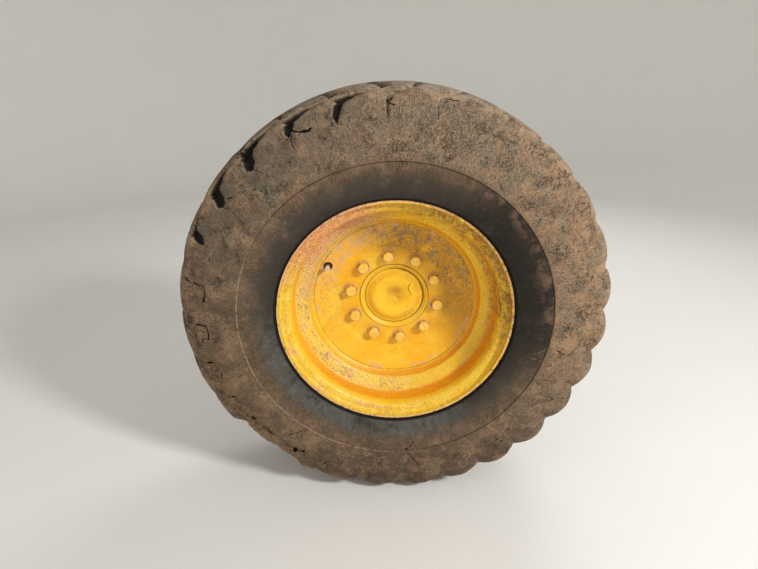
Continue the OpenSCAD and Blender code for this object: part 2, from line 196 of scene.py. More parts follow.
@dataclass
class Painter:
    """Draws the coats of a finish in a material's node tree."""

    tree: bpy.types.NodeTree
    polar_r: float = 300.0
    point: bpy.types.NodeSocket = field(init=False)
    polar: bpy.types.NodeSocket = field(init=False)
    places: dict[Place, bpy.types.NodeSocket] = field(init=False)

    def __post_init__(self) -> None:
        """Work out where on the wheel a shaded point is: in mm, in mm around and out, and as each Place."""
        add = partial(add_node, self.tree)
        here = add("ShaderNodeTexCoord").outputs["Object"]
        self.point = add("ShaderNodeVectorMath", {0: here, "Scale": 1 / MM}, operation="SCALE").outputs[0]
        x, y, z = add("ShaderNodeSeparateXYZ", {0: self.point}).outputs
        flat = add("ShaderNodeCombineXYZ", {0: x, 2: z}).outputs[0]
        radius = add("ShaderNodeVectorMath", {0: flat}, operation="LENGTH").outputs["Value"]
        turn = add("ShaderNodeMath", {0: x, 1: z}, operation="ARCTAN2").outputs[0]
        clock = add("ShaderNodeMath", {0: turn}, operation="DEGREES").outputs[0]
        depth = add("ShaderNodeMath", {0: y, 1: KINGPIN_Y}, operation="ADD").outputs[0]
        around = add("ShaderNodeMath", {0: turn, 1: self.polar_r}, operation="MULTIPLY").outputs[0]
        self.polar = add("ShaderNodeCombineXYZ", {0: around, 1: radius, 2: depth}).outputs[0]
        half_pitch = FULL_TURN / 2 / BOLT_COUNT
        off = add("ShaderNodeMath", {0: clock, 1: -BOLT_PHASE}, operation="ADD").outputs[0]
        off = add("ShaderNodeMath", {0: off, 1: half_pitch, 2: -half_pitch}, operation="WRAP").outputs[0]
        off = add("ShaderNodeMath", {0: off}, operation="RADIANS").outputs[0]
        aside = add("ShaderNodeMath", {0: off, 1: radius}, operation="MULTIPLY").outputs[0]
        out = add("ShaderNodeMath", {0: radius, 1: -BOLT_CIRCLE_R}, operation="ADD").outputs[0]
        pair = add("ShaderNodeCombineXYZ", {0: aside, 1: out}).outputs[0]
        bolt = add("ShaderNodeVectorMath", {0: pair}, operation="LENGTH").outputs["Value"]
        deep = add("ShaderNodeAttribute", attribute_name="hollow").outputs["Fac"]
        self.places = {Place.RADIUS: radius, Place.CLOCK: clock, Place.DEPTH: depth, Place.BOLT: bolt,
                       Place.HOLLOW: deep}

    def within(self, span: Span) -> bpy.types.NodeSocket:
        """Give 1 inside a span and 0 outside, with soft ends.

        Args:
            span: the stretch to keep to.

        Returns:
            The mask's socket.
        """
        add = partial(add_node, self.tree)
        middle, half = (span.low + span.high) / 2, (span.high - span.low) / 2
        off = add("ShaderNodeMath", {0: self.places[span.place], 1: -middle}, operation="ADD").outputs[0]
        if span.place is Place.CLOCK:
            off = add("ShaderNodeMath", {0: off, 1: FULL_TURN / 2, 2: -FULL_TURN / 2},
                      operation="WRAP").outputs[0]
        off = add("ShaderNodeMath", {0: off}, operation="ABSOLUTE").outputs[0]
        ends = {"Value": off, "From Min": half + span.fade, "From Max": max(0.0, half - span.fade)}
        return add("ShaderNodeMapRange", ends, interpolation_type="SMOOTHSTEP").outputs[0]

    def patches(self, coat: Coat, number: int) -> bpy.types.NodeSocket:
        """Give the patches in which a coat lies.

        Args:
            coat: the coat to lay.
            number: the coat's place in the list, which moves its pattern.

        Returns:
            The mask's socket, from 0 to the coat's strength.
        """
        add = partial(add_node, self.tree)
        at = add("ShaderNodeMapping", {
            "Vector": self.point if coat.stretch is None else self.polar,
            "Location": (7.3 * number, 3.1, 5.7 * number),
            "Scale": [1 / (coat.grain * s) for s in (coat.stretch or (1, 1, 1))]}).outputs[0]
        clouds = {"Vector": at, "Scale": 1.0, "Detail": coat.detail, "Roughness": 0.6}
        blur = coat.blur
        if coat.pattern is Pattern.CRAZING:
            swirl = add(Pattern.CLOUDS.value, {**clouds, "Scale": 1.7}).outputs["Color"]
            bent = add("ShaderNodeVectorMath", {0: swirl, 1: (1.5, 1.5, 1.5), 2: at},
                       operation="MULTIPLY_ADD").outputs[0]
            drawn = add(coat.pattern.value, {"Vector": bent, "Scale": 1.0},
                        feature="DISTANCE_TO_EDGE").outputs["Distance"]
            blur = -blur
        else:
            drawn = add(coat.pattern.value, clouds).outputs[0]
        steps = {"Value": drawn, "From Min": coat.edge - blur, "From Max": coat.edge + blur,
                 "To Max": coat.strength}
        mask = add("ShaderNodeMapRange", steps, interpolation_type="SMOOTHSTEP").outputs[0]
        limits = [self.within(span) for span in coat.where]
        if coat.gaps:
            broad = add(Pattern.CLOUDS.value, {"Vector": at, "Scale": coat.grain / coat.gaps, "Detail": 1.0})
            steps = {"Value": broad.outputs[0], "From Min": 0.53, "From Max": 0.62}
            limits.append(add("ShaderNodeMapRange", steps, interpolation_type="SMOOTHSTEP").outputs[0])
        for limit in limits:
            mask = add("ShaderNodeMath", {0: mask, 1: limit}, operation="MULTIPLY").outputs[0]
        return mask

    def coated(self, finish: Finish) -> tuple:
        """Lay a finish's coats over its bare colour in order.

        Args:
            finish: the finish to draw.

        Returns:
            Sockets or values of colour, roughness and height in mm.
        """
        add = partial(add_node, self.tree)
        colour, roughness, height = linear(finish.colour), finish.roughness, 0.0
        for size, tall in finish.bumps:
            at = add("ShaderNodeVectorMath", {0: self.point, "Scale": 1 / size}, operation="SCALE").outputs[0]
            grain = add(Pattern.CLOUDS.value, {"Vector": at, "Scale": 1.0, "Detail": 2.0}).outputs[0]
            height = add("ShaderNodeMath", {0: grain, 1: 2 * tall, 2: height},
                         operation="MULTIPLY_ADD").outputs[0]
        for number, coat in enumerate(finish.coats, 1):
            mask = self.patches(coat, number)
            colour = add("ShaderNodeMix", {0: mask, 6: colour, 7: linear(coat.colour)},
                         data_type="RGBA").outputs[2]
            if coat.roughness is not None:
                roughness = add("ShaderNodeMix", {0: mask, 2: roughness, 3: coat.roughness},
                                data_type="FLOAT").outputs[0]
            if coat.relief:
                height = add("ShaderNodeMath", {0: mask, 1: coat.relief, 2: height},
                             operation="MULTIPLY_ADD").outputs[0]
        return colour, roughness, height


# Sections and turned meshes

def on_wheel(radius: np.ndarray | float, depth: np.ndarray | float, clock: np.ndarray | float) -> np.ndarray:
    """Places of points from their distance to an axis, their place along it and their clock angle.

    Args:
        radius: distances from the axis in mm.
        depth: places along the axis in mm.
        clock: angles in degrees.

    Returns:
        One point a row.
    """
    angle = np.radians(clock)
    return np.stack(np.broadcast_arrays(radius * np.sin(angle), depth, radius * np.cos(angle)), -1)


def grid_faces(rows: int, columns: int, closed: bool) -> list[list[int]]:
    """Join rings of points by faces.

    Args:
        rows: how many rings there are.
        columns: how many points each ring has.
        closed: whether the last ring joins the first.

    Returns:
        Vertex numbers, four a face.
    """
    number = np.arange(rows * columns).reshape(rows, columns)
    ahead = np.roll(number, -1, 1)
    corners = np.stack([number, ahead, np.roll(ahead, -1, 0), np.roll(number, -1, 0)], -1)
    return corners[:rows if closed else rows - 1].reshape(-1, 4).tolist()


def arc(centre: np.ndarray, radius: float, start: float, sweep: float, steps: int) -> list[np.ndarray]:
    """Points of an arc.

    Args:
        centre: the arc's centre.
        radius: its radius.
        start: its first angle in radians.
        sweep: the angle that it covers.
        steps: how many parts it has.

    Returns:
        The points in order.
    """
    angles = start + sweep * np.arange(steps + 1) / steps
    return [centre + radius * np.array([math.cos(a), math.sin(a)]) for a in angles]


def rounded(path: Sequence[tuple[float, float, float]], steps: int) -> np.ndarray:
    """Round the corners of a path.

    Args:
        path: points as x, y and corner radius.
        steps: how many parts each round corner has.

    Returns:
        The points of the rounded path.
    """
    made: list[np.ndarray] = []
    for i, (x, y, radius) in enumerate(path):
        here = np.array([x, y], float)
        if i in (0, len(path) - 1) or radius == 0:
            made.append(here)
            continue
        back, ahead = np.array(path[i - 1][:2]) - here, np.array(path[i + 1][:2]) - here
        back, ahead = back / np.linalg.norm(back), ahead / np.linalg.norm(ahead)
        half = math.acos(float(back @ ahead)) / 2
        middle = here + (back + ahead) / np.linalg.norm(back + ahead) * radius / math.sin(half)
        first, last = (here + d * radius / math.tan(half) - middle for d in (back, ahead))
        start = math.atan2(first[1], first[0])
        sweep = (math.atan2(last[1], last[0]) - start + math.pi) % (2 * math.pi) - math.pi
        made += arc(middle, radius, start, sweep, steps)
    return np.array(made)


def normals_of(path: np.ndarray, closed: bool) -> np.ndarray:
    """Unit normals of a path, to its left.

    Args:
        path: its points.
        closed: whether the last point joins the first.

    Returns:
        One normal a point.
    """
    ahead, behind = np.roll(path, -1, 0), np.roll(path, 1, 0)
    if not closed:
        ahead[-1], behind[0] = path[-1], path[0]
    along = ahead - behind
    along /= np.linalg.norm(along, axis=1)[:, None] + 1e-12
    return np.stack([-along[:, 1], along[:, 0]], 1)


def sheet_section(path: np.ndarray, thickness: float, steps: int = 4) -> np.ndarray:
    """Give a path thickness and round ends.

    Args:
        path: the sheet's middle line.
        thickness: the sheet's thickness.
        steps: how many parts each round end has.

    Returns:
        The closed section.
    """
    side = normals_of(path, False) * thickness / 2
    ends = []
    for i, out in ((-1, side[-1]), (0, -side[0])):
        start = math.atan2(out[1], out[0])
        inset = np.array([math.cos(start - math.pi / 2), math.sin(start - math.pi / 2)])
        centre = path[i] - inset * thickness / 2
        ends.append(arc(centre, thickness / 2, start, -math.pi, steps)[1:-1])
    return np.concatenate([path + side, ends[0], (path - side)[::-1], ends[1]])


def run_of(path: np.ndarray) -> np.ndarray:
    """Distance of each point of a path from its start, along the path."""
    return np.concatenate([[0.0], np.cumsum(np.linalg.norm(np.diff(path, axis=0), axis=1))])


def resampled(path: np.ndarray, step: float) -> np.ndarray:
    """Space a path's points evenly.

    Args:
        path: its points.
        step: the distance wanted between points.

    Returns:
        The new points, with the same ends.
    """
    run = run_of(path)
    wanted = np.linspace(0, run[-1], max(1, round(run[-1] / step)) + 1)
    return np.stack([np.interp(wanted, run, path[:, k]) for k in (0, 1)], 1)


def split_loop(loop: np.ndarray, step: float) -> np.ndarray:
    """Split each stretch of a closed section into even parts, keeping its corners.

    Args:
        loop: the section's points.
        step: the longest part allowed.

    Returns:
        The points of the finer section.
    """
    parts = []
    for start, end in zip(loop, np.roll(loop, -1, 0)):
        count = max(1, math.ceil(float(np.linalg.norm(end - start)) / step))
        parts.append(start + (end - start) * np.arange(count)[:, None] / count)
    return np.concatenate(parts)


def lumps(points: np.ndarray, size: float, seed: float = 0.0) -> np.ndarray:
    """Smooth heights from about -1 to 1.

    Args:
        points: places in mm, one a row.
        size: distance between lumps in mm.
        seed: moves the pattern.

    Returns:
        One height a point.
    """
    return np.array([noise.noise(p) for p in (points / size + seed).tolist()])


def blend_between(value: np.ndarray, low: float, high: float) -> np.ndarray:
    """Rise smoothly from 0 at low to 1 at high, either way round."""
    share = np.clip((value - low) / (high - low), 0, 1)
    return share * share * (3 - 2 * share)


def disc_face(radius: float) -> float:
    """Axial place of the disc's outer face at a radius."""
    return DISC_Y - max(0.0, radius - DISC_FLAT_R) * DISC_SLOPE


@dataclass(frozen=True)
class Piece:
    """What a mesh piece is called, what carries it and what it is made of."""

    name: str
    slot: str
    finish: Finish
    replaced: tuple[str, ...] = ()
    body: str = "wheel"
    weld: float = 0.01

    def make(self, points: np.ndarray, faces: list[list[int]], hollow: np.ndarray | None = None) -> None:
        """Make the piece's mesh, put it on its body and report it.

        Args:
            points: vertices in mm on the wheel's axes, with axial places from the bolt heads' faces.
            faces: lists of vertex numbers.
            hollow: how deep each vertex lies in a groove or notch, and on the tyre also how much painted
                shade lies on it.
        """
        mesh = bpy.data.meshes.new(self.name)
        mesh.from_pydata(((points - [0, KINGPIN_Y, 0]) * MM).tolist(), [], faces)
        if hollow is not None:
            depths = mesh.attributes.new("hollow", "FLOAT", "POINT")
            depths.data.foreach_set("value", hollow.astype(np.float32))
        work = bmesh.new()
        work.from_mesh(mesh)
        bmesh.ops.remove_doubles(work, verts=work.verts, dist=self.weld * MM)
        bmesh.ops.recalc_face_normals(work, faces=work.faces)
        work.to_mesh(mesh)
        work.free()
        mesh.polygons.foreach_set("use_smooth", [True] * len(mesh.polygons))
        mesh.materials.append(self.finish.material())
        piece = bpy.data.objects.new(self.name, mesh)
        bpy.context.scene.collection.objects.link(piece)
        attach(piece, self.body)
        if self.replaced:
            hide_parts(*self.replaced)
        triangles = sum(len(face.vertices) - 2 for face in mesh.polygons)
        LOG.info("%s: %d triangles on %s", self.name, triangles, self.body)


@dataclass(frozen=True)
class Spots:
    """Points of a turned surface: clock angles in degrees, then mm along its section, out and deep."""

    clock: np.ndarray
    run: np.ndarray
    radius: np.ndarray
    depth: np.ndarray

    def places(self) -> np.ndarray:
        """The points' places in mm."""
        return on_wheel(self.radius, self.depth, self.clock)


# How far spots move out along the section's normal, and how hollow they are
Relief = Callable[[Spots], tuple[np.ndarray, np.ndarray]]


@dataclass(frozen=True)
class Groove:
    """A crack, scratch or seam cut into a turned surface, as clock angles and mm along the section."""

    path: tuple[tuple[float, float], ...]
    width: float
    depth: float

    def distance(self, clock: np.ndarray, run: np.ndarray, radius: np.ndarray) -> np.ndarray:
        """Measure how far points are from the groove's line.

        Args:
            clock: clock angles in degrees.
            run: distances along the section in mm.
            radius: distances from the wheel's axis in mm.

        Returns:
            Distances in mm.
        """
        best = np.full(len(clock), np.inf)
        for (c0, r0), (c1, r1) in zip(self.path, self.path[1:]):
            across = np.radians((clock - c0 + FULL_TURN / 2) % FULL_TURN - FULL_TURN / 2) * radius
            over, up = np.radians(c1 - c0) * radius, r1 - r0
            along = np.clip((across * over + (run - r0) * up) / (over * over + up * up), 0, 1)
            best = np.minimum(best, np.hypot(across - along * over, run - r0 - along * up))
        return best


@dataclass
class Turned:
    """A closed section turned about the wheel's axis, with relief and grooves cut into it."""

    section: np.ndarray
    columns: int
    relief: Relief
    clocks: Callable[[np.ndarray], np.ndarray] | None = None
    grooves: tuple[Groove, ...] = ()
    wander: float = 0.5
    fine_zone: float = 6.0
    run: np.ndarray = field(init=False)

    def __post_init__(self) -> None:
        """Measure the section once."""
        self.run = run_of(self.section)

    def run_at(self, radius: float, depth: float) -> float:
        """Distance along the section of its point nearest to a radius and axial place."""
        return float(self.run[np.argmin(np.hypot(self.section[:, 0] - radius, self.section[:, 1] - depth))])

    def build(self, piece: Piece) -> None:
        """Make the mesh.

        Args:
            piece: what the mesh is to be.
        """
        rows = len(self.section)
        clock = np.tile(np.arange(self.columns) * FULL_TURN / self.columns, (rows, 1))
        if self.clocks is not None:
            clock = self.clocks(self.section)
        clock, run, faces = self._refined(clock, np.tile(self.run[:, None], (1, self.columns)))
        radius, depth, across, along = (
            np.interp(run, self.run, line) for line in (*self.section.T, *self._outward().T))
        spots = Spots(clock, run, radius, depth)
        out, hollow = self.relief(spots)
        if self.grooves:
            at = spots.places()
            bent = clock + np.degrees(self.wander * lumps(at, 11.0, 4.0) / radius)
            raised = run + self.wander * lumps(at, 11.0, 8.0)
            patchy = 0.85 + 0.45 * lumps(at, 16.0, 6.0)
            for groove in self.grooves:
                cut = np.exp(-(groove.distance(bent, raised, radius) * 2 / groove.width) ** 2) * patchy
                out, hollow = out - groove.depth * cut, np.maximum(hollow, cut)
        piece.make(on_wheel(radius + across * out, depth + along * out, clock), faces, hollow)

    def _outward(self) -> np.ndarray:
        """Normals of the section that point out of the solid."""
        side, (x, y) = normals_of(self.section, True), self.section.T
        return side if np.sum(x * np.roll(y, -1) - np.roll(x, -1) * y) <= 0 else -side

    def _refined(self, clock: np.ndarray, run: np.ndarray) -> tuple[np.ndarray, np.ndarray, list]:
        """Split the grid's faces finely along the grooves.

        Args:
            clock: clock angle of each grid point.
            run: run of each grid point.

        Returns:
            Clock angles, runs and faces of the finer mesh.
        """
        faces = grid_faces(*clock.shape, closed=True)
        clock, run = clock.ravel(), run.ravel()
        if not self.grooves:
            return clock, run, faces
        radius = np.interp(run, self.run, self.section[:, 0])
        gap = np.min([g.distance(clock, run, radius) - g.width for g in self.grooves], axis=0)
        near = gap < self.fine_zone
        work = bmesh.new()
        for c, r in zip(clock.tolist(), run.tolist()):
            work.verts.new((c, r, 0.0))
        work.verts.ensure_lookup_table()
        work.verts.index_update()
        for face in faces:
            work.faces.new([work.verts[i] for i in face])
        # an edge that spans most of a turn only closes the flat grid into a ring
        edges = [e for e in work.edges if near[e.verts[0].index] and near[e.verts[1].index]
                 and abs(e.verts[0].co.x - e.verts[1].co.x) < 20]
        bmesh.ops.subdivide_edges(work, edges=edges, cuts=3, use_grid_fill=True)
        work.verts.index_update()
        flat = np.array([v.co[:2] for v in work.verts])
        faces = [[v.index for v in f.verts] for f in work.faces]
        work.free()
        return flat[:, 0], flat[:, 1], faces


# Finishes

# Alkyd enamel sprayed on steel and left outdoors: warm yellow, dulled by the sun, with an orange cast in the
# grooves at the bead seat and the well that is partly dust and partly painted shade, worn to a pinkish
# primer, and with grey and rusty specks
ORANGE_DUST_AND_SHADE = "#E08C00"
FADED = "#EEC43A"
RUST = "#7C4A1E"
SEAM_DIRT = "#7A5010"
DARK_SPECK = "#4A3018"

PAINT_BUMPS = ((3.0, 0.05), (22.0, 0.18))
# Enamel's 1.5, less what chalking takes from its gloss
CHALKED_IOR = 1.4


def speckle(mottle: float) -> tuple[Coat, ...]:
    """Light and dark mottling, and the fine dark specks and pits that lie all over old paint.

    Args:
        mottle: how strong the mottling is.

    Returns:
        The coats.
    """
    return (Coat("#FFDA58", 4.4, 0.57, 0.07, mottle, detail=1.0),
            Coat("#C98A12", 4.2, 0.59, 0.06, mottle, detail=1.0),
            Coat("#A8906E", 5.0, 0.66, 0.02, 0.8, roughness=0.7, relief=-0.04),
            Coat(DARK_SPECK, 3.4, 0.72, 0.02, 0.85, roughness=0.8, relief=-0.1))


RIM_ENAMEL = Finish(
    "enamel_yellow_weathered_rim", "#E9B90E", 0.42, ior=CHALKED_IOR, bumps=PAINT_BUMPS, lacquer=0.06, coats=(
        Coat(FADED, 60.0, 0.48, 0.10, 0.7),
        # orange in the grooves at the bead seat and at the well: partly dust, partly painted shade of these
        # recessed bands, strongest on the right and below
        Coat(ORANGE_DUST_AND_SHADE, 90.0, 0.30, 0.15, 0.5, (ring(309, 322, 3), band(-97, -42, 6))),
        Coat(ORANGE_DUST_AND_SHADE, 90.0, 0.30, 0.15, 0.95, (sector(-10, 236, 22), ring(308, 323, 3), band(-97, -42, 6))),
        Coat(ORANGE_DUST_AND_SHADE, 90.0, 0.30, 0.15, 0.3, (ring(262, 274, 3), band(-30, 30, 5))),
        Coat(ORANGE_DUST_AND_SHADE, 90.0, 0.30, 0.15, 0.9, (sector(-20, 205, 20), ring(262, 274, 3), band(-30, 30, 5))),
        # the slope has bleached to straw on the left
        Coat("#E8C85E", 40.0, 0.40, 0.12, 0.9, (sector(160, 310, 22), ring(273, 312, 4))),
        Coat("#F3D25C", 26.0, 0.50, 0.08, 0.7, (sector(150, 312, 18), ring(322, 356, 4))),
        Coat("#D8A22E", 5.0, 0.56, 0.06, 0.35, (sector(150, 315, 18), ring(273, 362, 4)), (1.6, 0.9, 0.9),
             detail=1.0),
        # salmon primer showing through on the upper left
        Coat("#E69E70", 18.0, 0.36, 0.05, 0.95, (sector(299, 346, 8), ring(280, 362, 8)), roughness=0.66,
             relief=-0.05),
        Coat("#C27C54", 6.0, 0.50, 0.05, 0.8, (sector(292, 352, 12), ring(278, 362, 8)), roughness=0.7,
             relief=-0.08),
        Coat("#F2BE98", 5.0, 0.62, 0.04, 0.5, (sector(292, 352, 12), ring(278, 362, 8)), roughness=0.7),
        Coat("#7E4228", 4.2, 0.60, 0.03, 0.85, (sector(288, 356, 12), ring(278, 362, 8)), roughness=0.7,
             relief=-0.1),
        # greyish smudges over the slope and the weld beside the valve
        Coat("#C9A67E", 15.0, 0.47, 0.05, 0.7, (sector(272, 352, 14), ring(252, 300, 6)), roughness=0.65,
             relief=-0.05),
        Coat("#A98A5E", 6.0, 0.57, 0.03, 0.7, (sector(262, 352, 14), ring(252, 312, 6)), roughness=0.65,
             relief=-0.05),
        # pinkish grey scabs with dark edges, along the slope and the flange on the left and below
        Coat("#C99C7C", 9.0, 0.46, 0.04, 0.8, (sector(172, 300, 14), ring(276, 308, 4)), (1.5, 0.9, 0.9),
             roughness=0.65, relief=-0.1, gaps=40.0),
        Coat("#9C7854", 6.0, 0.53, 0.04, 0.75, (sector(172, 300, 14), ring(276, 308, 4)), (1.5, 0.9, 0.9),
             roughness=0.7, relief=-0.1, gaps=34.0),
        Coat("#6E4A26", 4.6, 0.62, 0.03, 0.8, (sector(168, 303, 14), ring(273, 312, 4)), (1.5, 0.9, 0.9),
             roughness=0.7, relief=-0.1),
        Coat("#DDA27C", 10.0, 0.46, 0.04, 0.8, (sector(180, 306, 16), ring(330, 362, 5)), (1.6, 0.8, 0.8),
             roughness=0.62, relief=-0.1, gaps=46.0),
        Coat("#B98450", 6.0, 0.54, 0.04, 0.7, (sector(140, 308, 16), ring(324, 360, 5)), (1.6, 0.9, 0.9),
             roughness=0.66, relief=-0.1, gaps=38.0),
        Coat("#7E5628", 4.6, 0.63, 0.03, 0.75, (sector(130, 310, 16), ring(322, 362, 5)), (1.5, 0.9, 0.9),
             roughness=0.7, relief=-0.1),
        # rust and dirt on the right, where rain runs off the flange
        Coat("#BC7F16", 60.0, 0.45, 0.10, 0.7, (sector(5, 108, 24), ring(296, 352, 8)), roughness=0.55),
        Coat("#8A6634", 24.0, 0.53, 0.06, 0.7, (sector(8, 105, 20), ring(300, 362, 6)), roughness=0.6),
        Coat("#8C5A20", 34.0, 0.44, 0.10, 0.7, (sector(18, 100, 18), ring(338, 362, 8)), roughness=0.7),
        Coat(RUST, 8.0, 0.56, 0.04, 0.8, (sector(8, 104, 22), ring(322, 362, 8)), (0.9, 1.7, 1.3),
             roughness=0.75, relief=-0.06),
        Coat(RUST, 7.0, 0.61, 0.03, 0.6, (sector(5, 85, 15), ring(270, 330, 6)), roughness=0.75,
             relief=-0.06),
        *speckle(0.34),
        # bare chipped edge of the lip
        Coat("#E2B08A", 9.0, 0.46, 0.03, 0.9, (ring(353.5, 362, 1.5),), roughness=0.5),
        Coat("#6A4426", 6.0, 0.63, 0.02, 0.9, (ring(351, 362, 2),), roughness=0.8, relief=-0.2),
        Coat("#3A2412", 50.0, 0.1, 0.05, 0.95, (in_hollow(0.3, 1.7, 0.2),), roughness=0.9)))

# The same enamel on rolled plate, richer in colour because the rim shelters it
DISC_ENAMEL = Finish(
    "enamel_yellow_weathered_disc", "#F1B006", 0.42, ior=CHALKED_IOR, bumps=PAINT_BUMPS, lacquer=0.06, coats=(
        Coat(FADED, 55.0, 0.50, 0.10, 0.6),
        Coat("#F0A810", 45.0, 0.58, 0.08, 0.5),
        # brown and grey stain on the upper right, which the rim keeps damp
        Coat("#B98122", 50.0, 0.40, 0.10, 0.7, (sector(-12, 118, 22), ring(160, 280, 24)), roughness=0.55),
        Coat("#8C7658", 26.0, 0.54, 0.03, 0.8, (sector(-22, 72, 20), ring(172, 272, 12)), roughness=0.65,
             relief=-0.05),
        Coat("#6B573F", 7.0, 0.57, 0.03, 0.7, (sector(-22, 100, 20), ring(165, 272, 14)), roughness=0.7,
             relief=-0.05),
        # primer along the disc's edge, and around the washers
        Coat("#DBA283", 12.0, 0.47, 0.04, 0.85, (ring(245, 259, 5),), roughness=0.62, relief=-0.06,
             gaps=60.0),
        Coat("#CF9E5E", 16.0, 0.57, 0.04, 0.5, (by_bolt(20, 28, 3),), roughness=0.62, relief=-0.05),
        # grey and pink smudges around the valve
        Coat("#CBA67C", 17.0, 0.50, 0.05, 0.75, (sector(284, 350, 16), ring(198, 262, 12)), roughness=0.62),
        Coat("#D9A488", 7.0, 0.56, 0.04, 0.7, (sector(284, 350, 16), ring(198, 262, 12)), roughness=0.62,
             relief=-0.05),
        # olive grey rubbed marks to the left of the bolts
        Coat("#BE9A56", 12.0, 0.56, 0.05, 0.65, (sector(240, 292, 14), ring(165, 245, 12)), roughness=0.6),
        *speckle(0.16)))

# The same enamel over the turned hub, with dirt in its seams and a painted shadow in the seam round the cap
# on the upper right
HUB_ENAMEL = Finish(
    "enamel_yellow_hub", "#F2BA12", 0.4, ior=CHALKED_IOR, bumps=((3.0, 0.04), (26.0, 0.2)), lacquer=0.06,
    coats=(
        Coat(FADED, 50.0, 0.50, 0.10, 0.8),
        Coat("#E9B45C", 12.0, 0.62, 0.03, 0.7, roughness=0.6),
        Coat("#D79A72", 7.0, 0.64, 0.03, 0.7, roughness=0.65, relief=-0.05),
        Coat(SEAM_DIRT, 50.0, 0.1, 0.05, 0.35, (ring(92, 96.6, 0.8), band(0, 60, 2)), roughness=0.8),
        # painted shadow in the seam round the cap, from the top round to the lower right
        Coat("#5C3A0C", 50.0, 0.1, 0.05, 0.9, (sector(-10, 130, 30), ring(92, 98.4, 1.0), band(0, 60, 2)),
             roughness=0.8),
        Coat("#6A460E", 50.0, 0.1, 0.05, 0.85, (ring(110.8, 114, 0.8), band(0, 60, 2)), roughness=0.8),
        *speckle(0.2)))

# The same enamel over pressed sheet, smoother and a little shinier, with painted shade in its cone and round
# its crest
CAP_ENAMEL = Finish(
    "enamel_yellow_pressed_cap", "#F3BA10", 0.34, ior=CHALKED_IOR, bumps=((5.0, 0.03), (60.0, 0.3)),
    lacquer=0.15, coats=(
        Coat("#F6C430", 45.0, 0.50, 0.10, 0.7),
        # painted shade of the pressed shape: darker in the cone's middle, above it and to its right, and in a
        # ring on the crest's outer slope
        Coat("#C88A1C", 16.0, 0.44, 0.14, 0.6, (ring(-1, 26, 18),)),
        Coat("#B87C1A", 14.0, 0.40, 0.14, 0.6, (sector(-50, 62, 24), ring(2, 34, 14))),
        Coat("#C88A1C", 16.0, 0.40, 0.14, 0.5, (sector(82, 140, 24), ring(4, 30, 14))),
        Coat("#D2941C", 26.0, 0.40, 0.14, 0.5, (ring(70, 88, 8),)),
        Coat("#B79A4E", 7.0, 0.56, 0.03, 0.7, (sector(118, 168, 14), ring(62, 90, 9)), roughness=0.6),
        Coat(DARK_SPECK, 3.0, 0.76, 0.015, 0.8, roughness=0.8, relief=-0.08),
        Coat(SEAM_DIRT, 50.0, 0.1, 0.05, 0.4, (ring(92.4, 100, 0.8),), roughness=0.8),
        Coat(SEAM_DIRT, 50.0, 0.1, 0.05, 0.9, (in_hollow(0.35, 1.65, 0.25),), roughness=0.7)))

# The same enamel over forged heads, paler, and chipped to primer and rust
BOLT_ENAMEL = Finish(
    "enamel_yellow_bolt_heads", "#F3BD2C", 0.42, ior=CHALKED_IOR, bumps=((2.0, 0.05), (9.0, 0.15)), coats=(
        Coat("#F6CE5E", 16.0, 0.50, 0.08, 0.8),
        Coat("#DDAE78", 6.0, 0.56, 0.04, 0.75, roughness=0.6, relief=-0.05),
        Coat(RUST, 4.0, 0.68, 0.03, 0.8, roughness=0.8, relief=-0.08)))

# Zinc primer brushed on plain steel washers: flat and pinkish, with yellow overspray, rusty edges, and a dark
# ring under the bolt heads that is dirt in the crevice and painted shade
WASHER_PRIMER = Finish(
    "primer_on_steel_washers", "#D9A87C", 0.6, bumps=((2.5, 0.06), (12.0, 0.15)), coats=(
        Coat("#EDBC48", 19.0, 0.47, 0.06, 0.9),
        Coat("#C0957E", 7.0, 0.55, 0.05, 0.75, relief=-0.04),
        # dark ring under the bolt heads: dirt in the crevice, and painted shade there
        Coat("#7A4E18", 12.0, 0.36, 0.10, 0.85, (by_bolt(10, 18.6, 1.2),), roughness=0.8),
        Coat("#8A5C22", 12.0, 0.42, 0.10, 0.7, (by_bolt(22.6, 26, 0.6),), roughness=0.8),
        Coat("#6E4A2A", 4.0, 0.67, 0.03, 0.8, roughness=0.8, relief=-0.06)))
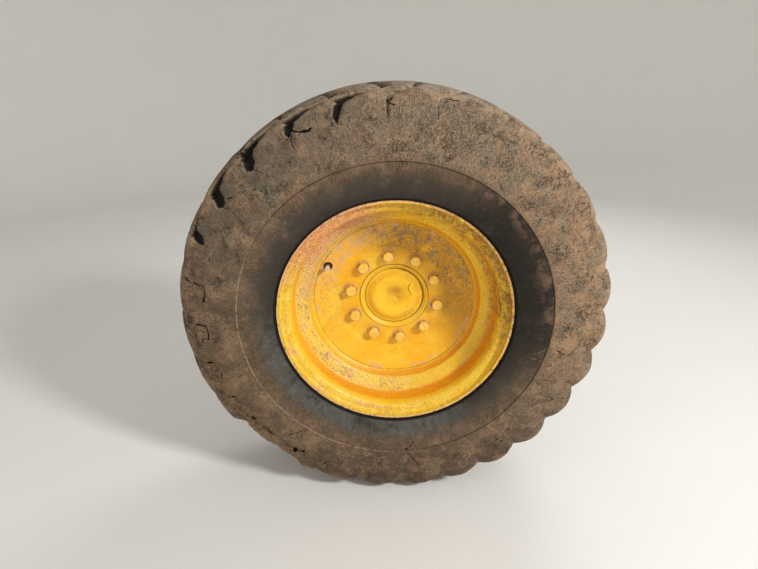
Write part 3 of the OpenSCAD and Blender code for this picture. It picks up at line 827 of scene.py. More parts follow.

# Natural rubber filled with carbon black, moulded and long worn: matt, bleached and dusty over the
# tread, cleaner and nearly black beside the rim, pitted, and crazed by ozone. Painted shade lies in the
# notches and at the rim's lip, and a painted shadow and highlight along the mould line
TYRE_RUBBER = Finish(
    "rubber_natural_worn_tread", "#6B5744", 0.9, ior=1.33,
    bumps=((1.6, 0.14), (5.0, 0.46), (30.0, 1.2)), coats=(
        Coat("#7F6853", 75.0, 0.50, 0.14, 0.7),
        Coat("#534635", 60.0, 0.52, 0.12, 0.7),
        # tan dust on the right, brown over the top, yellower at the lower left and darker below
        Coat("#9C7B5B", 80.0, 0.40, 0.12, 0.85, (sector(28, 114, 20), ring(474, 700, 6))),
        Coat("#6A5B4B", 70.0, 0.40, 0.12, 0.85, (sector(-50, 40, 30), ring(474, 700, 16))),
        Coat("#7C6449", 60.0, 0.44, 0.14, 0.6, (sector(208, 262, 14), ring(472, 700, 16))),
        Coat("#4B3C2F", 60.0, 0.40, 0.14, 0.58, (sector(108, 208, 14), ring(430, 700, 20))),
        # clean dark rubber towards the bead
        Coat("#3D372E", 70.0, 0.36, 0.14, 0.85, (ring(300, 432, 30),), roughness=0.8),
        Coat("#2D2923", 70.0, 0.30, 0.15, 0.95, (ring(300, 392, 24),), roughness=0.74),
        Coat("#1E1A15", 90.0, 0.33, 0.14, 0.95, (sector(28, 112, 18), ring(300, 469, 2)), roughness=0.76),
        Coat("#5C5B55", 46.0, 0.42, 0.14, 0.6, (sector(150, 262, 20), ring(300, 418, 16)), roughness=0.7),
        Coat("#77766F", 11.0, 0.56, 0.08, 0.24, (sector(150, 270, 20), ring(366, 428, 12)),
             (0.9, 2.6, 2.6)),
        Coat("#39342C", 40.0, 0.44, 0.12, 0.5, (sector(-85, 20, 20), ring(380, 452, 18))),
        # grey rubber that shows through the dust, and pale dust on the tread's edge
        Coat("#6B6455", 80.0, 0.49, 0.08, 0.65, (sector(-70, 128, 20), ring(480, 700, 12))),
        Coat("#51483C", 44.0, 0.55, 0.09, 0.6, (ring(476, 700, 8),)),
        Coat("#94735A", 34.0, 0.56, 0.06, 0.38, (ring(440, 700, 16),)),
        Coat("#A99378", 26.0, 0.52, 0.08, 0.6, (ring(628, 700, 16),)),
        # the grain of pits and dust, drawn at 4 mm because a finer one would not show
        Coat("#382B1F", 4.2, 0.50, 0.12, 0.24, (ring(430, 700, 24),), relief=-0.3, detail=1.0),
        Coat("#33271C", 4.6, 0.49, 0.12, 0.40, (ring(430, 700, 24),), relief=-0.3, detail=1.0, gaps=70.0),
        Coat("#C6A585", 4.0, 0.54, 0.10, 0.30, (sector(-20, 128, 24), ring(474, 700, 8)), relief=0.1,
             detail=1.0),
        Coat("#BE9C78", 4.4, 0.52, 0.10, 0.30, (ring(474, 700, 8),), relief=0.1, detail=1.0, gaps=56.0),
        Coat("#9A8168", 4.0, 0.55, 0.10, 0.22, (sector(112, 345, 20), ring(420, 700, 14)), relief=0.1,
             detail=1.0),
        Coat("#1F1812", 7.0, 0.68, 0.03, 0.8, (ring(474, 700, 8),), relief=-0.5),
        # wavering lines that run out from the bead, and a little crazing from the sun
        Coat("#3E3226", 5.0, 0.59, 0.03, 0.5, (ring(400, 640, 20),), (0.5, 3.4, 3.4), relief=-0.3),
        Coat("#241C14", 27.0, 0.04, 0.055, 0.85, (ring(480, 700, 12),), relief=-1.2,
             pattern=Pattern.CRAZING, gaps=52.0),
        # hairlines across the clean ring
        Coat("#7A6B55", 3.0, 0.66, 0.02, 0.45, (ring(364, 468, 10),), (0.35, 8.0, 8.0)),
        # the mould's parting line, with a painted shadow along it above and on the right, and a painted
        # highlight along it at the lower left
        Coat("#1E1914", 60.0, 0.1, 0.05, 0.85, (sector(-65, 168, 22), ring(467.6, 469.6, 1.3))),
        Coat("#B7A288", 9.0, 0.46, 0.10, 0.7, (sector(182, 296, 14), ring(469.4, 471.4, 1.3))),
        # painted shade in the gap at the rim's lip, frayed pale edges, and painted shade where little light
        # reaches in the notches and on the torn edge, which also darkens the cracks
        Coat("#14110D", 60.0, 0.1, 0.05, 0.95, (ring(340, 366, 1.8),), roughness=0.95),
        Coat("#A48A6C", 9.0, 0.46, 0.08, 0.6, (in_hollow(0.14, 0.34, 0.08),)),
        Coat("#14110F", 60.0, 0.15, 0.05, 0.97, (in_hollow(0.44, 1.9, 0.22),), roughness=0.95)))

# Moulded nitrile rubber, soft black and barely shiny
SEAL_RUBBER = Finish("rubber_nitrile_black", "#24221F", 0.62, bumps=((2.0, 0.05),), coats=(
    Coat("#4E4334", 9.0, 0.56, 0.06, 0.6, roughness=0.85),))

# Moulded nylon under paint overspray and dust: pinkish, pale and flat
CAP_PLASTIC = Finish("nylon_cap_oversprayed", "#D3AE92", 0.55, bumps=((2.0, 0.05),), coats=(
    Coat("#E8CDB8", 7.0, 0.46, 0.06, 0.8), Coat("#6A4A30", 4.0, 0.62, 0.04, 0.8, roughness=0.8)))

# Drawn brass that has dulled in the air: brown, dusty and hardly shiny
VALVE_BRASS = Finish("brass_drawn_dull", "#B59A66", 0.42, 1.0, bumps=((2.0, 0.04),), coats=(
    Coat("#D3B290", 8.0, 0.46, 0.06, 0.7, roughness=0.6),
    Coat("#5A4630", 4.0, 0.60, 0.04, 0.7, roughness=0.7)))

# Turned carbon steel under a film of oil and dirt: dark grey, softly shiny, with a few rusty spots
BARE_STEEL = Finish("steel_carbon_oiled", "#8B8782", 0.36, 1.0, bumps=((1.5, 0.03), (8.0, 0.06)), coats=(
    Coat("#5A4C3C", 26.0, 0.50, 0.08, 0.6, roughness=0.55),
    Coat("#7A4A26", 6.0, 0.64, 0.03, 0.7, roughness=0.8)))

# Cast steel under the same enamel, rough from the sand mould
CAST_ENAMEL = Finish(
    "enamel_yellow_on_casting", "#E8A828", 0.5, bumps=((2.6, 0.2), (9.0, 0.4)), coats=(
        Coat(FADED, 60.0, 0.50, 0.10, 0.6),
        Coat("#8F6F42", 50.0, 0.53, 0.08, 0.6, roughness=0.75),
        Coat("#5C4630", 14.0, 0.60, 0.04, 0.6, roughness=0.8),
        *speckle(0.2)))

# Leaded bronze, bored and greased: golden brown, and shiny between dark streaks
BRONZE = Finish("bronze_leaded_greased", "#B98A54", 0.34, 1.0, bumps=((1.5, 0.03),), coats=(
    Coat("#4A3A26", 10.0, 0.54, 0.06, 0.6, roughness=0.5),))


# The wheel's pieces

# How the tyre has worn, and how much painted shade lies in its notches, by clock angle in degrees
WEAR_CLOCKS = (0, 20, 50, 75, 100, 125, 145, 195, 205, 212, 232, 238, 285, 296, 318, 333, 346, 360)
WEAR = {
    "share of the notches' depth left":
        (.3, .2, .1, .1, .1, .12, .3, .5, .8, .2, .2, .9, .95, 1, 1, 1, .8, .3),
    "half the notches' width":
        (8, 10, 12, 12, 12, 13, 14, 15, 10, 9, 9, 9, 10, 16, 17, 12, 10, 8),
    "how softly the notches' trailing side falls":
        (6, 6, 8, 8, 8, 8, 10, 14, 8, 5, 5, 5, 5, 6, 6, 5, 5, 6),
    "how far the lugs have worn round":
        (.2, .2, .35, .8, 1.2, 1.3, 1.2, .9, .5, .2, .2, .4, .4, .4, .35, .3, .2, .2),
    "how dark the notches are with dirt and shade":
        (.5, .3, .2, .2, .2, .2, .2, .2, .2, .2, .2, .5, .6, 1, 1, 1, .95, .5),
    "where the notches end, up from the lip":
        (232, 214, 214, 214, 214, 214, 214, 214, 240, 250, 256, 262, 262, 230, 232, 246, 226, 232),
    "length over which the notches open":
        (44, 30, 30, 30, 30, 30, 30, 30, 40, 40, 40, 40, 40, 16, 14, 20, 30, 44)}


@dataclass(frozen=True)
class OnLug:
    """Where points of the tyre are on its lugs.

    Attributes:
        turn: clock angles from 0 to 360 degrees.
        up: distances from the lip along the outside.
        side: distances outboard of the middle plane.
        aside: distances clockwise of the nearest notch's middle.
        pitch: distances from one notch to the next.
        bend: degrees that the notch turns in the tyre's bend_over of its length.
        at: places in mm.
        radius: distances from the axis.
        ragged: uneven heights from about -1 to 1.
    """

    turn: np.ndarray
    up: np.ndarray
    side: np.ndarray
    aside: np.ndarray
    pitch: np.ndarray
    bend: np.ndarray
    at: np.ndarray
    radius: np.ndarray
    ragged: np.ndarray


@dataclass
class WornTyre:
    """Wide tyre with worn lugs, cracked sidewalls and a mould line."""

    tyre_r: float = 666.0
    half_width: float = 234.5
    bulge_r: float = 492.0
    bulge_curve: float = 319.0
    shoulder_curve: float = 46.0
    crown_drop: float = 13.0
    side_t: float = 22.0
    crown_t: float = 44.0
    lug_count: int = 28
    lug_phase: float = 10.3
    notch_skew: float = 24.0
    bead_toe: float = 140.0
    lip_clear_r: float = 360.7
    mould_line_r: float = 470.0
    shoulder_r: float = 553.0
    wall_top_r: float = 590.0
    tread_foot_r: float = 598.0
    bead_gap: float = 0.3
    bead_rise: float = 24.0
    middle_half: float = 60.0
    even_share: float = 0.85
    even_half: float = 14.0
    bend_over: float = 6.0
    scoop_depth: float = 8.5
    torn_depth: float = 17.0
    bite_depth: float = 7.0
    columns_a_lug: int = 20
    lip_run: float = field(init=False, default=0.0)
    outside_run: float = field(init=False, default=0.0)

    def side_at(self, radius: float) -> float:
        """Half width of the sidewall's outside at a radius."""
        rise = math.sqrt(self.bulge_curve ** 2 - (radius - self.bulge_r) ** 2)
        return self.half_width - self.bulge_curve + rise

    def seat_at(self, side: float) -> float:
        """Radius of the bead seat at a distance from the rim's middle."""
        return SEAT_R - (RIM_HALF - side) * SEAT_TAPER

    def outside(self, fine: float, coarse: float, steps: int) -> np.ndarray:
        """Half of the outside, from the bead's toe to the middle of the tread.

        Args:
            fine: spacing of points on the shoulder and tread.
            coarse: spacing on the sidewall.
            steps: how many parts each round corner at the bead has.

        Returns:
            Points of radius and distance from the middle plane.
        """
        gap, clear, line = self.bead_gap, self.lip_clear_r, self.mould_line_r
        heel, top, foot_r = RIM_HALF - gap, clear + self.bead_rise, self.tread_foot_r
        bead = rounded([(self.seat_at(self.bead_toe) + gap, self.bead_toe, 0),
                        (self.seat_at(heel) + gap, heel, 14), (clear, heel, 9),
                        (clear, self.side_at(clear + 8), 6), (top, self.side_at(top), 0)], steps)
        wall = np.array([(r, self.side_at(r)) for r in np.linspace(top, self.wall_top_r, 40)])
        edge = self.side_at(self.tyre_r - 26) - 4
        tread = rounded([(foot_r, self.side_at(foot_r), 0),
                         (self.tyre_r - self.crown_drop, edge, self.shoulder_curve),
                         (self.tyre_r - 2, self.half_width * 0.3, 0)], 12)
        near = [line + off for off in (-6, -3.5, -2, -0.8, 0.8, 2, 3.5, 6)]
        mould_line = np.array([(r, self.side_at(r)) for r in near])
        below, above = wall[wall[:, 0] < line - 9], wall[wall[:, 0] > line + 9]
        foot = above[:, 0] > self.shoulder_r
        upper = resampled(np.concatenate([above[~foot][-1:], above[foot], tread]), fine)
        return np.concatenate([
            bead[:-1], resampled(np.concatenate([wall[:1], below, mould_line[:1]]), coarse)[:-1], mould_line,
            resampled(np.concatenate([mould_line[-1:], above[~foot]]), coarse)[1:-1],
            upper[:-1], resampled(np.array([upper[-1], [self.tyre_r, 0.0]]), 1.6 * fine)])

    def inside(self) -> np.ndarray:
        """Half of the inside, from the middle of the tread to the bead's toe.

        Returns:
            Points of radius and distance from the middle plane.
        """
        crown, half = self.tyre_r - self.crown_t, self.half_width
        top = rounded([(crown, 0, 0), (crown - 6, half * 0.5, 0), (crown - 36, half * 0.72, 20),
                       (556, self.side_at(556) - self.side_t * 1.3, 0)], 1)
        wall = [(r, self.side_at(r) - self.side_t) for r in (520, 460, 400)]
        toe = [(SEAT_R + 22, self.bead_toe + 16), (self.seat_at(self.bead_toe) + 6, self.bead_toe - 2)]
        return np.concatenate([top, wall, toe])

    def section(self) -> np.ndarray:
        """The closed section, starting at the outboard bead and going over the tread.

        Returns:
            Points of radius and axial place. The inboard half, which shows less, has fewer.
        """
        near, far, inner = self.outside(4.9, 11.2, 4), self.outside(13.0, 28.0, 2), self.inside()
        far = far[::-1][1:] * [1, -1]
        self.outside_run = float(run_of(np.concatenate([near, far]))[-1])
        loop = np.concatenate([near, far, inner[::-1] * [1, -1], inner[1:]])
        return np.stack([loop[:, 0], RIM_MID_Y - loop[:, 1]], 1)

    def drift(self, radius: np.ndarray, side: np.ndarray) -> np.ndarray:
        """Degrees by which the lugs at a place stand clockwise of those at the shoulder.

        Args:
            radius: distances from the axis.
            side: distances outboard of the middle plane.

        Returns:
            Angles, which also pass from the outboard lugs to the inboard ones across the middle.
        """
        slant = math.tan(math.radians(self.notch_skew)) * (0.9 * self.half_width - np.abs(side))
        swap = 1 - blend_between(side, -self.middle_half, self.middle_half)
        return np.degrees(slant / radius) + swap * FULL_TURN / 2 / self.lug_count

    def bow(self, base: np.ndarray, up: np.ndarray) -> np.ndarray:
        """Degrees by which the notches on the left and above bow clockwise past the shoulder.

        Args:
            base: place around the tyre, counted in lugs.
            up: distances from the lip along the outside.

        Returns:
            The angles.
        """
        clock = (base * FULL_TURN / self.lug_count + self.lug_phase) % FULL_TURN
        share = np.interp(clock, [0, 15, 190, 215, 285, 300, 345, 360], [0.2, 0, 0, 0.3, 0.4, 1, 1, 0.2])
        return share * np.interp(up, [250, 276, 288, 297, 305, 312, 320, 345, 400, 476],
                                 [0, 0.6, 2.2, 4.2, 6.4, 8.4, 9.8, 10.4, 7.2, 0])

    def clocks(self, section: np.ndarray) -> np.ndarray:
        """Lay the columns along the notches, closer together beside them.

        Args:
            section: the section's points.

        Returns:
            Clock angles, one row a point.
        """
        part = np.arange(self.columns_a_lug) / self.columns_a_lug
        close = part - 0.1 * np.sin(2 * math.pi * part)
        base = (np.arange(self.lug_count)[:, None] + close[None, :]).ravel()
        up = run_of(section) - self.lip_run
        drift = self.drift(section[:, 0], RIM_MID_Y - section[:, 1])
        return (base * FULL_TURN / self.lug_count + self.lug_phase + drift[:, None]
                + 0.3 * self.bow(base[None, :], up[:, None]))

    def on_lug(self, spots: Spots) -> OnLug:
        """Find where points are on the lugs.

        Args:
            spots: points of the tyre.

        Returns:
            Their places on the lugs.
        """
        side, lug = RIM_MID_Y - spots.depth, FULL_TURN / self.lug_count
        above = spots.run - self.lip_run
        way = spots.clock - self.lug_phase - self.drift(spots.radius, side)
        base = way / lug
        for _ in range(4):
            base = (way - self.bow(base, above)) / lug
        at = spots.places()
        return OnLug(
            turn=spots.clock % FULL_TURN, side=side, at=at, radius=spots.radius, ragged=lumps(at, 26.0),
            up=np.minimum(spots.run, self.outside_run - spots.run) - self.lip_run,
            aside=np.radians((base - np.round(base)) * lug) * spots.radius,
            pitch=np.radians(lug) * spots.radius,
            bend=self.bow(base, above + self.bend_over / 2) - self.bow(base, above - self.bend_over / 2))

    def notches(self, lug: OnLug) -> tuple[np.ndarray, np.ndarray, np.ndarray]:
        """Cut the notches and round the lugs between them.

        Args:
            lug: where the points are.

        Returns:
            How deep the notches are, how far the lugs have worn away, and how much dirt and painted shade
            darken the notches.
        """
        up = lug.up
        deep, half, soft, worn, dark, foot, open_by = (
            np.interp(lug.turn, WEAR_CLOCKS, row) for row in WEAR.values())
        # on the tread, and inboard, the notches are worn alike all the way round
        even = np.maximum(
            blend_between(up, 296.0, 340.0), blend_between(lug.side, self.middle_half, -self.middle_half))
        deep = deep + (np.maximum(deep, self.even_share) - deep) * even
        wedge = 0.3 + 0.7 * blend_between((up - foot + 4) / (open_by + 4), 0.0, 1.0)
        half = half * wedge + (self.even_half - half * wedge) * even + 2.0 * lug.ragged
        # a bent notch is measured across, and reaches back to where its wall meets the outline
        over = lug.aside / np.hypot(1.0, np.radians(lug.bend) / self.bend_over * lug.radius)
        reach = (15.0 * blend_between(up, 288, 304) * (1 - blend_between(up, 345, 385))
                 * blend_between(lug.bend, 0.5, 1.0))
        notch = blend_between(over, half + 2.5, half - 2.5)
        notch *= blend_between(over + half + reach, -soft * wedge, 4)
        cut = notch * deep * np.minimum(
            np.interp(up - foot, [-3, 4, 26, 52], [0, 9, 15, 26]),
            np.interp(up, [262, 300, 345, 395, 430, 456], [26, 26, 22, 19, 17, 0]))
        crest = 1 - np.abs(np.sin(math.pi * lug.aside / lug.pitch)) ** 0.8
        fall = crest * worn * np.interp(up, [150, 200, 250, 295, 330, 420, 490], [0, 4, 15, 20, 12, 4, 2])
        tone = dark + (0.5 - dark) * blend_between(up, 385.0, 430.0)
        return cut, fall, notch * tone * blend_between(deep, 0.15, 0.5) * blend_between(up - foot, -3, 4)

    def scoops(self, lug: OnLug) -> tuple[np.ndarray, np.ndarray]:
        """Cut the wide scoop at each notch's foot on the left, with a step at its top and bead side.

        Args:
            lug: where the points are.

        Returns:
            How deep the scoops are, and how dark their steps are in their own shade.
        """
        up, aside = lug.up, lug.aside
        scoop = np.interp(lug.turn, [0, 198, 206, 284, 294, 360], [0, 0, 1, 1, 0, 0]) * (lug.side > 0)
        brink = 206 + 0.008 * (aside + 16) ** 2 + 2 * lug.ragged
        across = blend_between(aside, 12, 7) * scoop
        bowl = across * blend_between(aside, -46, -4) * blend_between(up, brink - 3, brink + 3)
        step = 1.3 * np.exp(-((up - brink - 1) / 4.2) ** 2) * blend_between(aside, -46, -32) * across
        wall = 1.1 * np.exp(-((aside - 8) / 4.0) ** 2) * scoop * blend_between(up, 262, 240) * blend_between(
            up, brink, brink + 6)
        patchy = 0.9 + 0.9 * lumps(lug.at, 24.0, 5.0)
        bowl = self.scoop_depth * bowl * np.interp(up, [208, 285], [1, 0])
        return bowl, patchy * np.maximum(step, wall)

    def tears(self, lug: OnLug) -> tuple[np.ndarray, np.ndarray]:
        """Tear a piece off the lugs at the lower left, and bite pieces out of their edges.

        Args:
            lug: where the points are.

        Returns:
            How deep the rubber is torn, and how much painted shade lies along the torn piece's ripped edge.
        """
        ends = np.interp(lug.turn, [0, 209, 212, 232, 235, 360], [0, 0, 1, 1, 0, 0]) * (lug.side > 0)
        ripped = blend_between(
            lug.up + 34 * lumps(lug.at, 40.0, 7.0) + 16 * lumps(lug.at, 13.0, 3.0), 214, 226)
        bites = blend_between(lumps(lug.at, 17.0, 9.0), 0.08, 0.40)
        bites *= blend_between(np.abs(lug.aside), 60.0, 18.0)
        bites *= np.interp(lug.up, [205, 235, 300, 340], [0, 1, 1, 0])
        bites *= np.interp(lug.turn, [0, 190, 208, 262, 290, 345, 360], [.15, .3, 1, .9, .3, .35, .15])
        shred = ends * ripped * (self.torn_depth + 6 * lumps(lug.at, 11.0, 2.0)) + self.bite_depth * bites
        return shred, ends * (0.2 * ripped + 3.0 * ripped * (1 - ripped))

    def relief(self, spots: Spots) -> tuple[np.ndarray, np.ndarray]:
        """Cut the notches, round the lugs and roughen the rubber.

        Args:
            spots: points of the tyre.

        Returns:
            How far each point moves out, never past the round tyre, and how much painted shade lies on it.
        """
        lug, outer = self.on_lug(spots), spots.run <= self.outside_run
        notch, fall, dirt = self.notches(lug)
        scoop, step = self.scoops(lug)
        shred, torn = self.tears(lug)
        cut = np.maximum(notch, scoop)
        rough = 1.3 * lumps(lug.at, 75.0, 3.0) + 0.6 * lumps(lug.at, 18.0, 5.0) - 1.5
        line = 1.1 * np.exp(-((lug.radius - self.mould_line_r) / 1.5) ** 2)
        line -= 0.9 * np.exp(-((lug.radius - self.mould_line_r + 3.2) / 1.6) ** 2)
        out = rough * blend_between(lug.up, 4.0, 40.0) + line * (lug.up > 20) * (lug.up < 200)
        out -= np.maximum(cut, fall) + 0.15 * np.minimum(cut, fall) + shred
        # painted shade: the notches' dirt and shade, the scoops' steps and the torn piece's ripped edge
        hollow = np.clip(np.maximum(np.maximum(step, dirt), torn), 0, 1)
        return np.where(outer, np.minimum(out, 0), 0), np.where(outer, hollow, 0)

    def cracks(self) -> tuple[Groove, ...]:
        """The cracks in the outboard sidewall.

        Returns:
            Grooves, whose paths are given here as clock angle and distance up from the lip.
        """
        lines = (
            (((171.2, 172), (173.3, 136), (175.4, 106), (174.2, 101), (171.7, 80)), 3.8, 4.5),
            (((96.2, 208), (98.8, 205), (101.2, 190), (102.9, 177), (102.2, 158), (101.2, 140)), 2.6, 2.4),
            (((100.4, 110), (102.4, 96), (104.6, 75)), 2.6, 2.2),
            (((106.3, 79), (106.7, 77)), 5.0, 2.6),
            (((217.9, 180), (220.0, 168), (218.4, 150), (217.5, 130)), 3.2, 3.0),
            (((220.0, 168), (222.2, 175)), 2.6, 2.4),
            (((305.4, 232), (306.0, 195), (304.8, 155)), 2.4, 2.2),
            (((312.5, 110), (313.2, 92), (314.6, 70)), 2.6, 1.8),
            (((21.2, 176), (22.5, 157)), 3.0, 2.4),
            (((180.3, 160), (181.8, 178)), 2.6, 2.2),
            (((63.3, 148), (65.4, 150), (67.5, 158)), 2.4, 1.4),
            (((190.2, 200), (189.8, 160)), 2.2, 1.6),
            (((270.4, 170), (271.3, 164), (272.4, 168)), 2.6, 1.8),
            (((271.3, 164), (271.0, 152)), 2.4, 1.8),
            (((295.0, 190), (294.2, 150)), 2.0, 1.2),
            (((331.3, 256), (331.2, 206)), 3.0, 3.2),
            (((318.9, 232), (319.6, 220), (320.4, 206)), 2.8, 2.4),
            (((307.6, 236), (309.2, 226)), 5.0, 4.0),
            (((357.5, 258), (357.6, 210)), 2.8, 2.4),
            (((10.1, 262), (10.3, 224)), 3.0, 2.6),
            (((332.4, 262), (333.6, 250), (335.4, 240), (336.9, 236), (337.2, 240)), 8.0, 7.0),
            (((358.6, 274), (357.2, 268), (358.2, 258), (359.2, 255)), 5.0, 4.0),
            (((209.6, 238), (212.4, 228), (215.8, 233), (219.4, 226), (222.2, 231), (226.0, 225)), 6.0, 6.0),
            (((226.4, 238), (229.0, 230), (231.6, 234), (234.2, 228)), 6.0, 6.0),
            (((216.4, 246), (218.4, 238), (217.6, 230)), 5.0, 4.0),
            (((12.2, 288), (13.0, 285), (14.2, 288)), 5.0, 4.0),
            (((293.4, 247), (292.8, 220)), 4.0, 2.0))
        return tuple(Groove(tuple((c, self.lip_run + up) for c, up in path), width, deep)
                     for path, width, deep in lines)

    def build(self) -> None:
        """Make the tyre."""
        columns = self.lug_count * self.columns_a_lug
        shape = Turned(self.section(), columns, self.relief, self.clocks, wander=3.0)
        self.lip_run = shape.run_at(self.lip_clear_r + 3, RIM_MID_Y - self.side_at(self.lip_clear_r + 6))
        shape.grooves = self.cracks()
        shape.build(Piece("tyre_worn", "tyre_rubber", TYRE_RUBBER, ("tyre",)))


@dataclass
class WornRim:
    """Rolled one-piece rim with nicked lips and an open seam under the outboard flange."""

    seat_w: float = 64.0
    flange_h: float = 30.7
    lip_reach: float = 27.0
    wall: float = 8.0
    slope_run: float = 24.0
    uneven: float = 0.22
    nick_depth: float = 1.1
    step: float = 9.0
    columns: int = 440

    def section(self) -> np.ndarray:
        """The rim's closed section, from the part's own sizes.

        Returns:
            Points of radius and axial place.
        """
        mid, inner = self.wall / 2, RIM_HALF - self.seat_w
        lip_r, seat_in = SEAT_R + self.flange_h - mid, SEAT_R - self.seat_w * SEAT_TAPER
        side = [(lip_r, RIM_HALF + self.lip_reach, 0), (lip_r, RIM_HALF + mid, 12),
                (SEAT_R - mid, RIM_HALF + mid, 14), (seat_in - mid, inner, 12),
                (WELL_R + mid, inner - self.slope_run, 12)]
        path = rounded(side + [(r, -s, c) for r, s, c in side[::-1]], 7)
        loop = split_loop(sheet_section(path, self.wall), self.step)
        return np.stack([loop[:, 0], RIM_MID_Y - loop[:, 1]], 1)

    def relief(self, spots: Spots) -> tuple[np.ndarray, np.ndarray]:
        """Knock the lips about and leave the rolled wall slightly uneven.

        Args:
            spots: points of the rim.

        Returns:
            How far each point moves out, and how hollow it is.
        """
        at = spots.places()
        lip = blend_between(RIM_MID_Y - spots.depth, RIM_HALF + 15, RIM_HALF + self.lip_reach)
        nicks = blend_between(lumps(at, 11.0, 2.0), 0.22, 0.5) * lip
        out = self.uneven * lumps(at, 60.0) - self.uneven - self.nick_depth * nicks
        return np.minimum(out, 0), 0.25 * nicks

    def build(self) -> None:
        """Make the rim."""
        shape = Turned(self.section(), self.columns, self.relief)
        corner = shape.run_at(SEAT_R - self.wall, RIM_MID_Y - RIM_HALF + 16)
        out = 1 if shape.run_at(SEAT_R, RIM_MID_Y - RIM_HALF - self.lip_reach) > corner else -1
        seam = ((22, 0), (34, 1), (46, 0), (58, 1), (68, 3), (76, 7), (82, 12), (88, 16), (91, 15))
        shape.grooves = (Groove(tuple((c, corner + out * up) for c, up in seam), 2.6, 1.8),)
        shape.build(Piece("rim_worn", "yellow_paint", RIM_ENAMEL, ("rim",)))


@dataclass
class WeldBeads:
    """The two fillet welds that join the disc to the rim, laid in ripples."""

    leg: float = 15.0
    ripple: float = 7.5
    ripple_h: float = 0.54
    ripple_bow: float = 2.5
    crown: float = 0.18
    columns: int = 720

    def section(self, way: int) -> np.ndarray:
        """Section of one bead.

        Args:
            way: -1 for the outboard bead and 1 for the inboard one.

        Returns:
            The closed section.
        """
        foot = 0.0 if way < 0 else DISC_T
        inner = WELL_R - self.leg
        toe = np.array([inner, disc_face(inner) + foot])
        root = np.array([WELL_R, disc_face(WELL_R) + foot])
        top = np.array([WELL_R, disc_face(inner) + foot + way * self.leg * 1.1])
        share = np.linspace(0, 1, 9)[:, None]
        face = top + (toe - top) * share + (root - (toe + top) / 2) * self.crown * np.sin(math.pi * share)
        return np.concatenate([face, [(toe + root) / 2], [root], [(root + top) / 2]])

    def relief(self, spots: Spots) -> tuple[np.ndarray, np.ndarray]:
        """Lay ripples across the bead, bowed as the pool froze.

        Args:
            spots: points of a bead.

        Returns:
            How far each point moves out, and no hollows.
        """
        at, radius = spots.places(), spots.radius
        bow = self.ripple_bow * np.cos(math.pi * (radius - WELL_R + self.leg / 2) / self.leg)
        phase = (np.radians(spots.clock) * radius.mean() + bow) / self.ripple + 0.4 * lumps(at, 40.0)
        free = blend_between(WELL_R - radius, 0.3, 2.0)
        depth = self.ripple_h * np.abs(np.sin(math.pi * phase)) + 0.3 * (1 + lumps(at, 16.0, 4.0))
        return -depth * free, np.zeros(len(radius))

    def build(self) -> None:
        """Make both beads."""
        for way, name, node in ((-1, "weld_bead_outer", "weld_outer"), (1, "weld_bead_inner", "weld_inner")):
            shape = Turned(self.section(way), self.columns, self.relief)
            shape.build(Piece(name, "yellow_paint", RIM_ENAMEL, (node,)))


@dataclass
class HubCap:
    """Pressed sheet cap with a round crest, a cone in its middle, small dents and a scratch."""

    cap_r: float = 99.6
    overhang: float = 4.3
    edge_y: float = 29.0
    skirt_l: float = 14.0
    crest: float = 9.0
    dimple: float = 12.0
    sheet_t: float = 3.0
    axis_hole_r: float = 0.02
    dent: float = 0.5
    step: float = 3.0
    columns: int = 300

    def section(self) -> np.ndarray:
        """The cap's closed section, from the part's own sizes.

        Returns:
            Points of radius and axial place.
        """
        skirt = self.cap_r - self.overhang - self.sheet_t / 2
        brim_y, crest_y = self.edge_y + self.sheet_t / 2 - 0.3, self.edge_y - self.crest
        path = rounded([(skirt, self.edge_y + self.skirt_l, 0), (skirt, brim_y, 2),
                        (self.cap_r - 10, brim_y, 3), (self.cap_r * 0.68, crest_y, 40),
                        (7, crest_y + self.dimple + 1.9, 6), (0, crest_y + self.dimple + 2.2, 0)], 12)
        side = normals_of(path, False) * self.sheet_t / 2
        loop = np.concatenate([path + side, (path - side)[::-1]])
        loop[:, 0] = np.maximum(loop[:, 0], self.axis_hole_r)
        return split_loop(loop, self.step)

    def relief(self, spots: Spots) -> tuple[np.ndarray, np.ndarray]:
        """Press shallow dents, the same on both faces of the sheet.

        Args:
            spots: points of the cap.

        Returns:
            How far each point moves out, and no hollows.
        """
        rough = lumps(on_wheel(spots.radius, 0.0, spots.clock), 38.0, 1.5)
        dents = self.dent * rough * blend_between(spots.radius, self.cap_r - 6, self.cap_r - 16)
        front = blend_between(spots.depth, self.edge_y + 8, self.edge_y + 2)
        return np.minimum(dents - self.dent, 0) * front, np.zeros(len(front))

    def build(self) -> None:
        """Make the cap."""
        shape = Turned(self.section(), self.columns, self.relief)
        front = shape.section[:len(shape.section) // 2, 0]
        scratch = ((50, 70), (52, 61), (58, 54), (68, 51), (79, 54), (84, 58))
        path = tuple((clock, float(shape.run[np.argmin(np.abs(front - radius))]))
                     for clock, radius in scratch)
        shape.grooves = (Groove(path, 2.2, 0.8),)
        shape.build(Piece("hub_cap_pressed", "yellow_paint", CAP_ENAMEL, ("hub_cap",)))


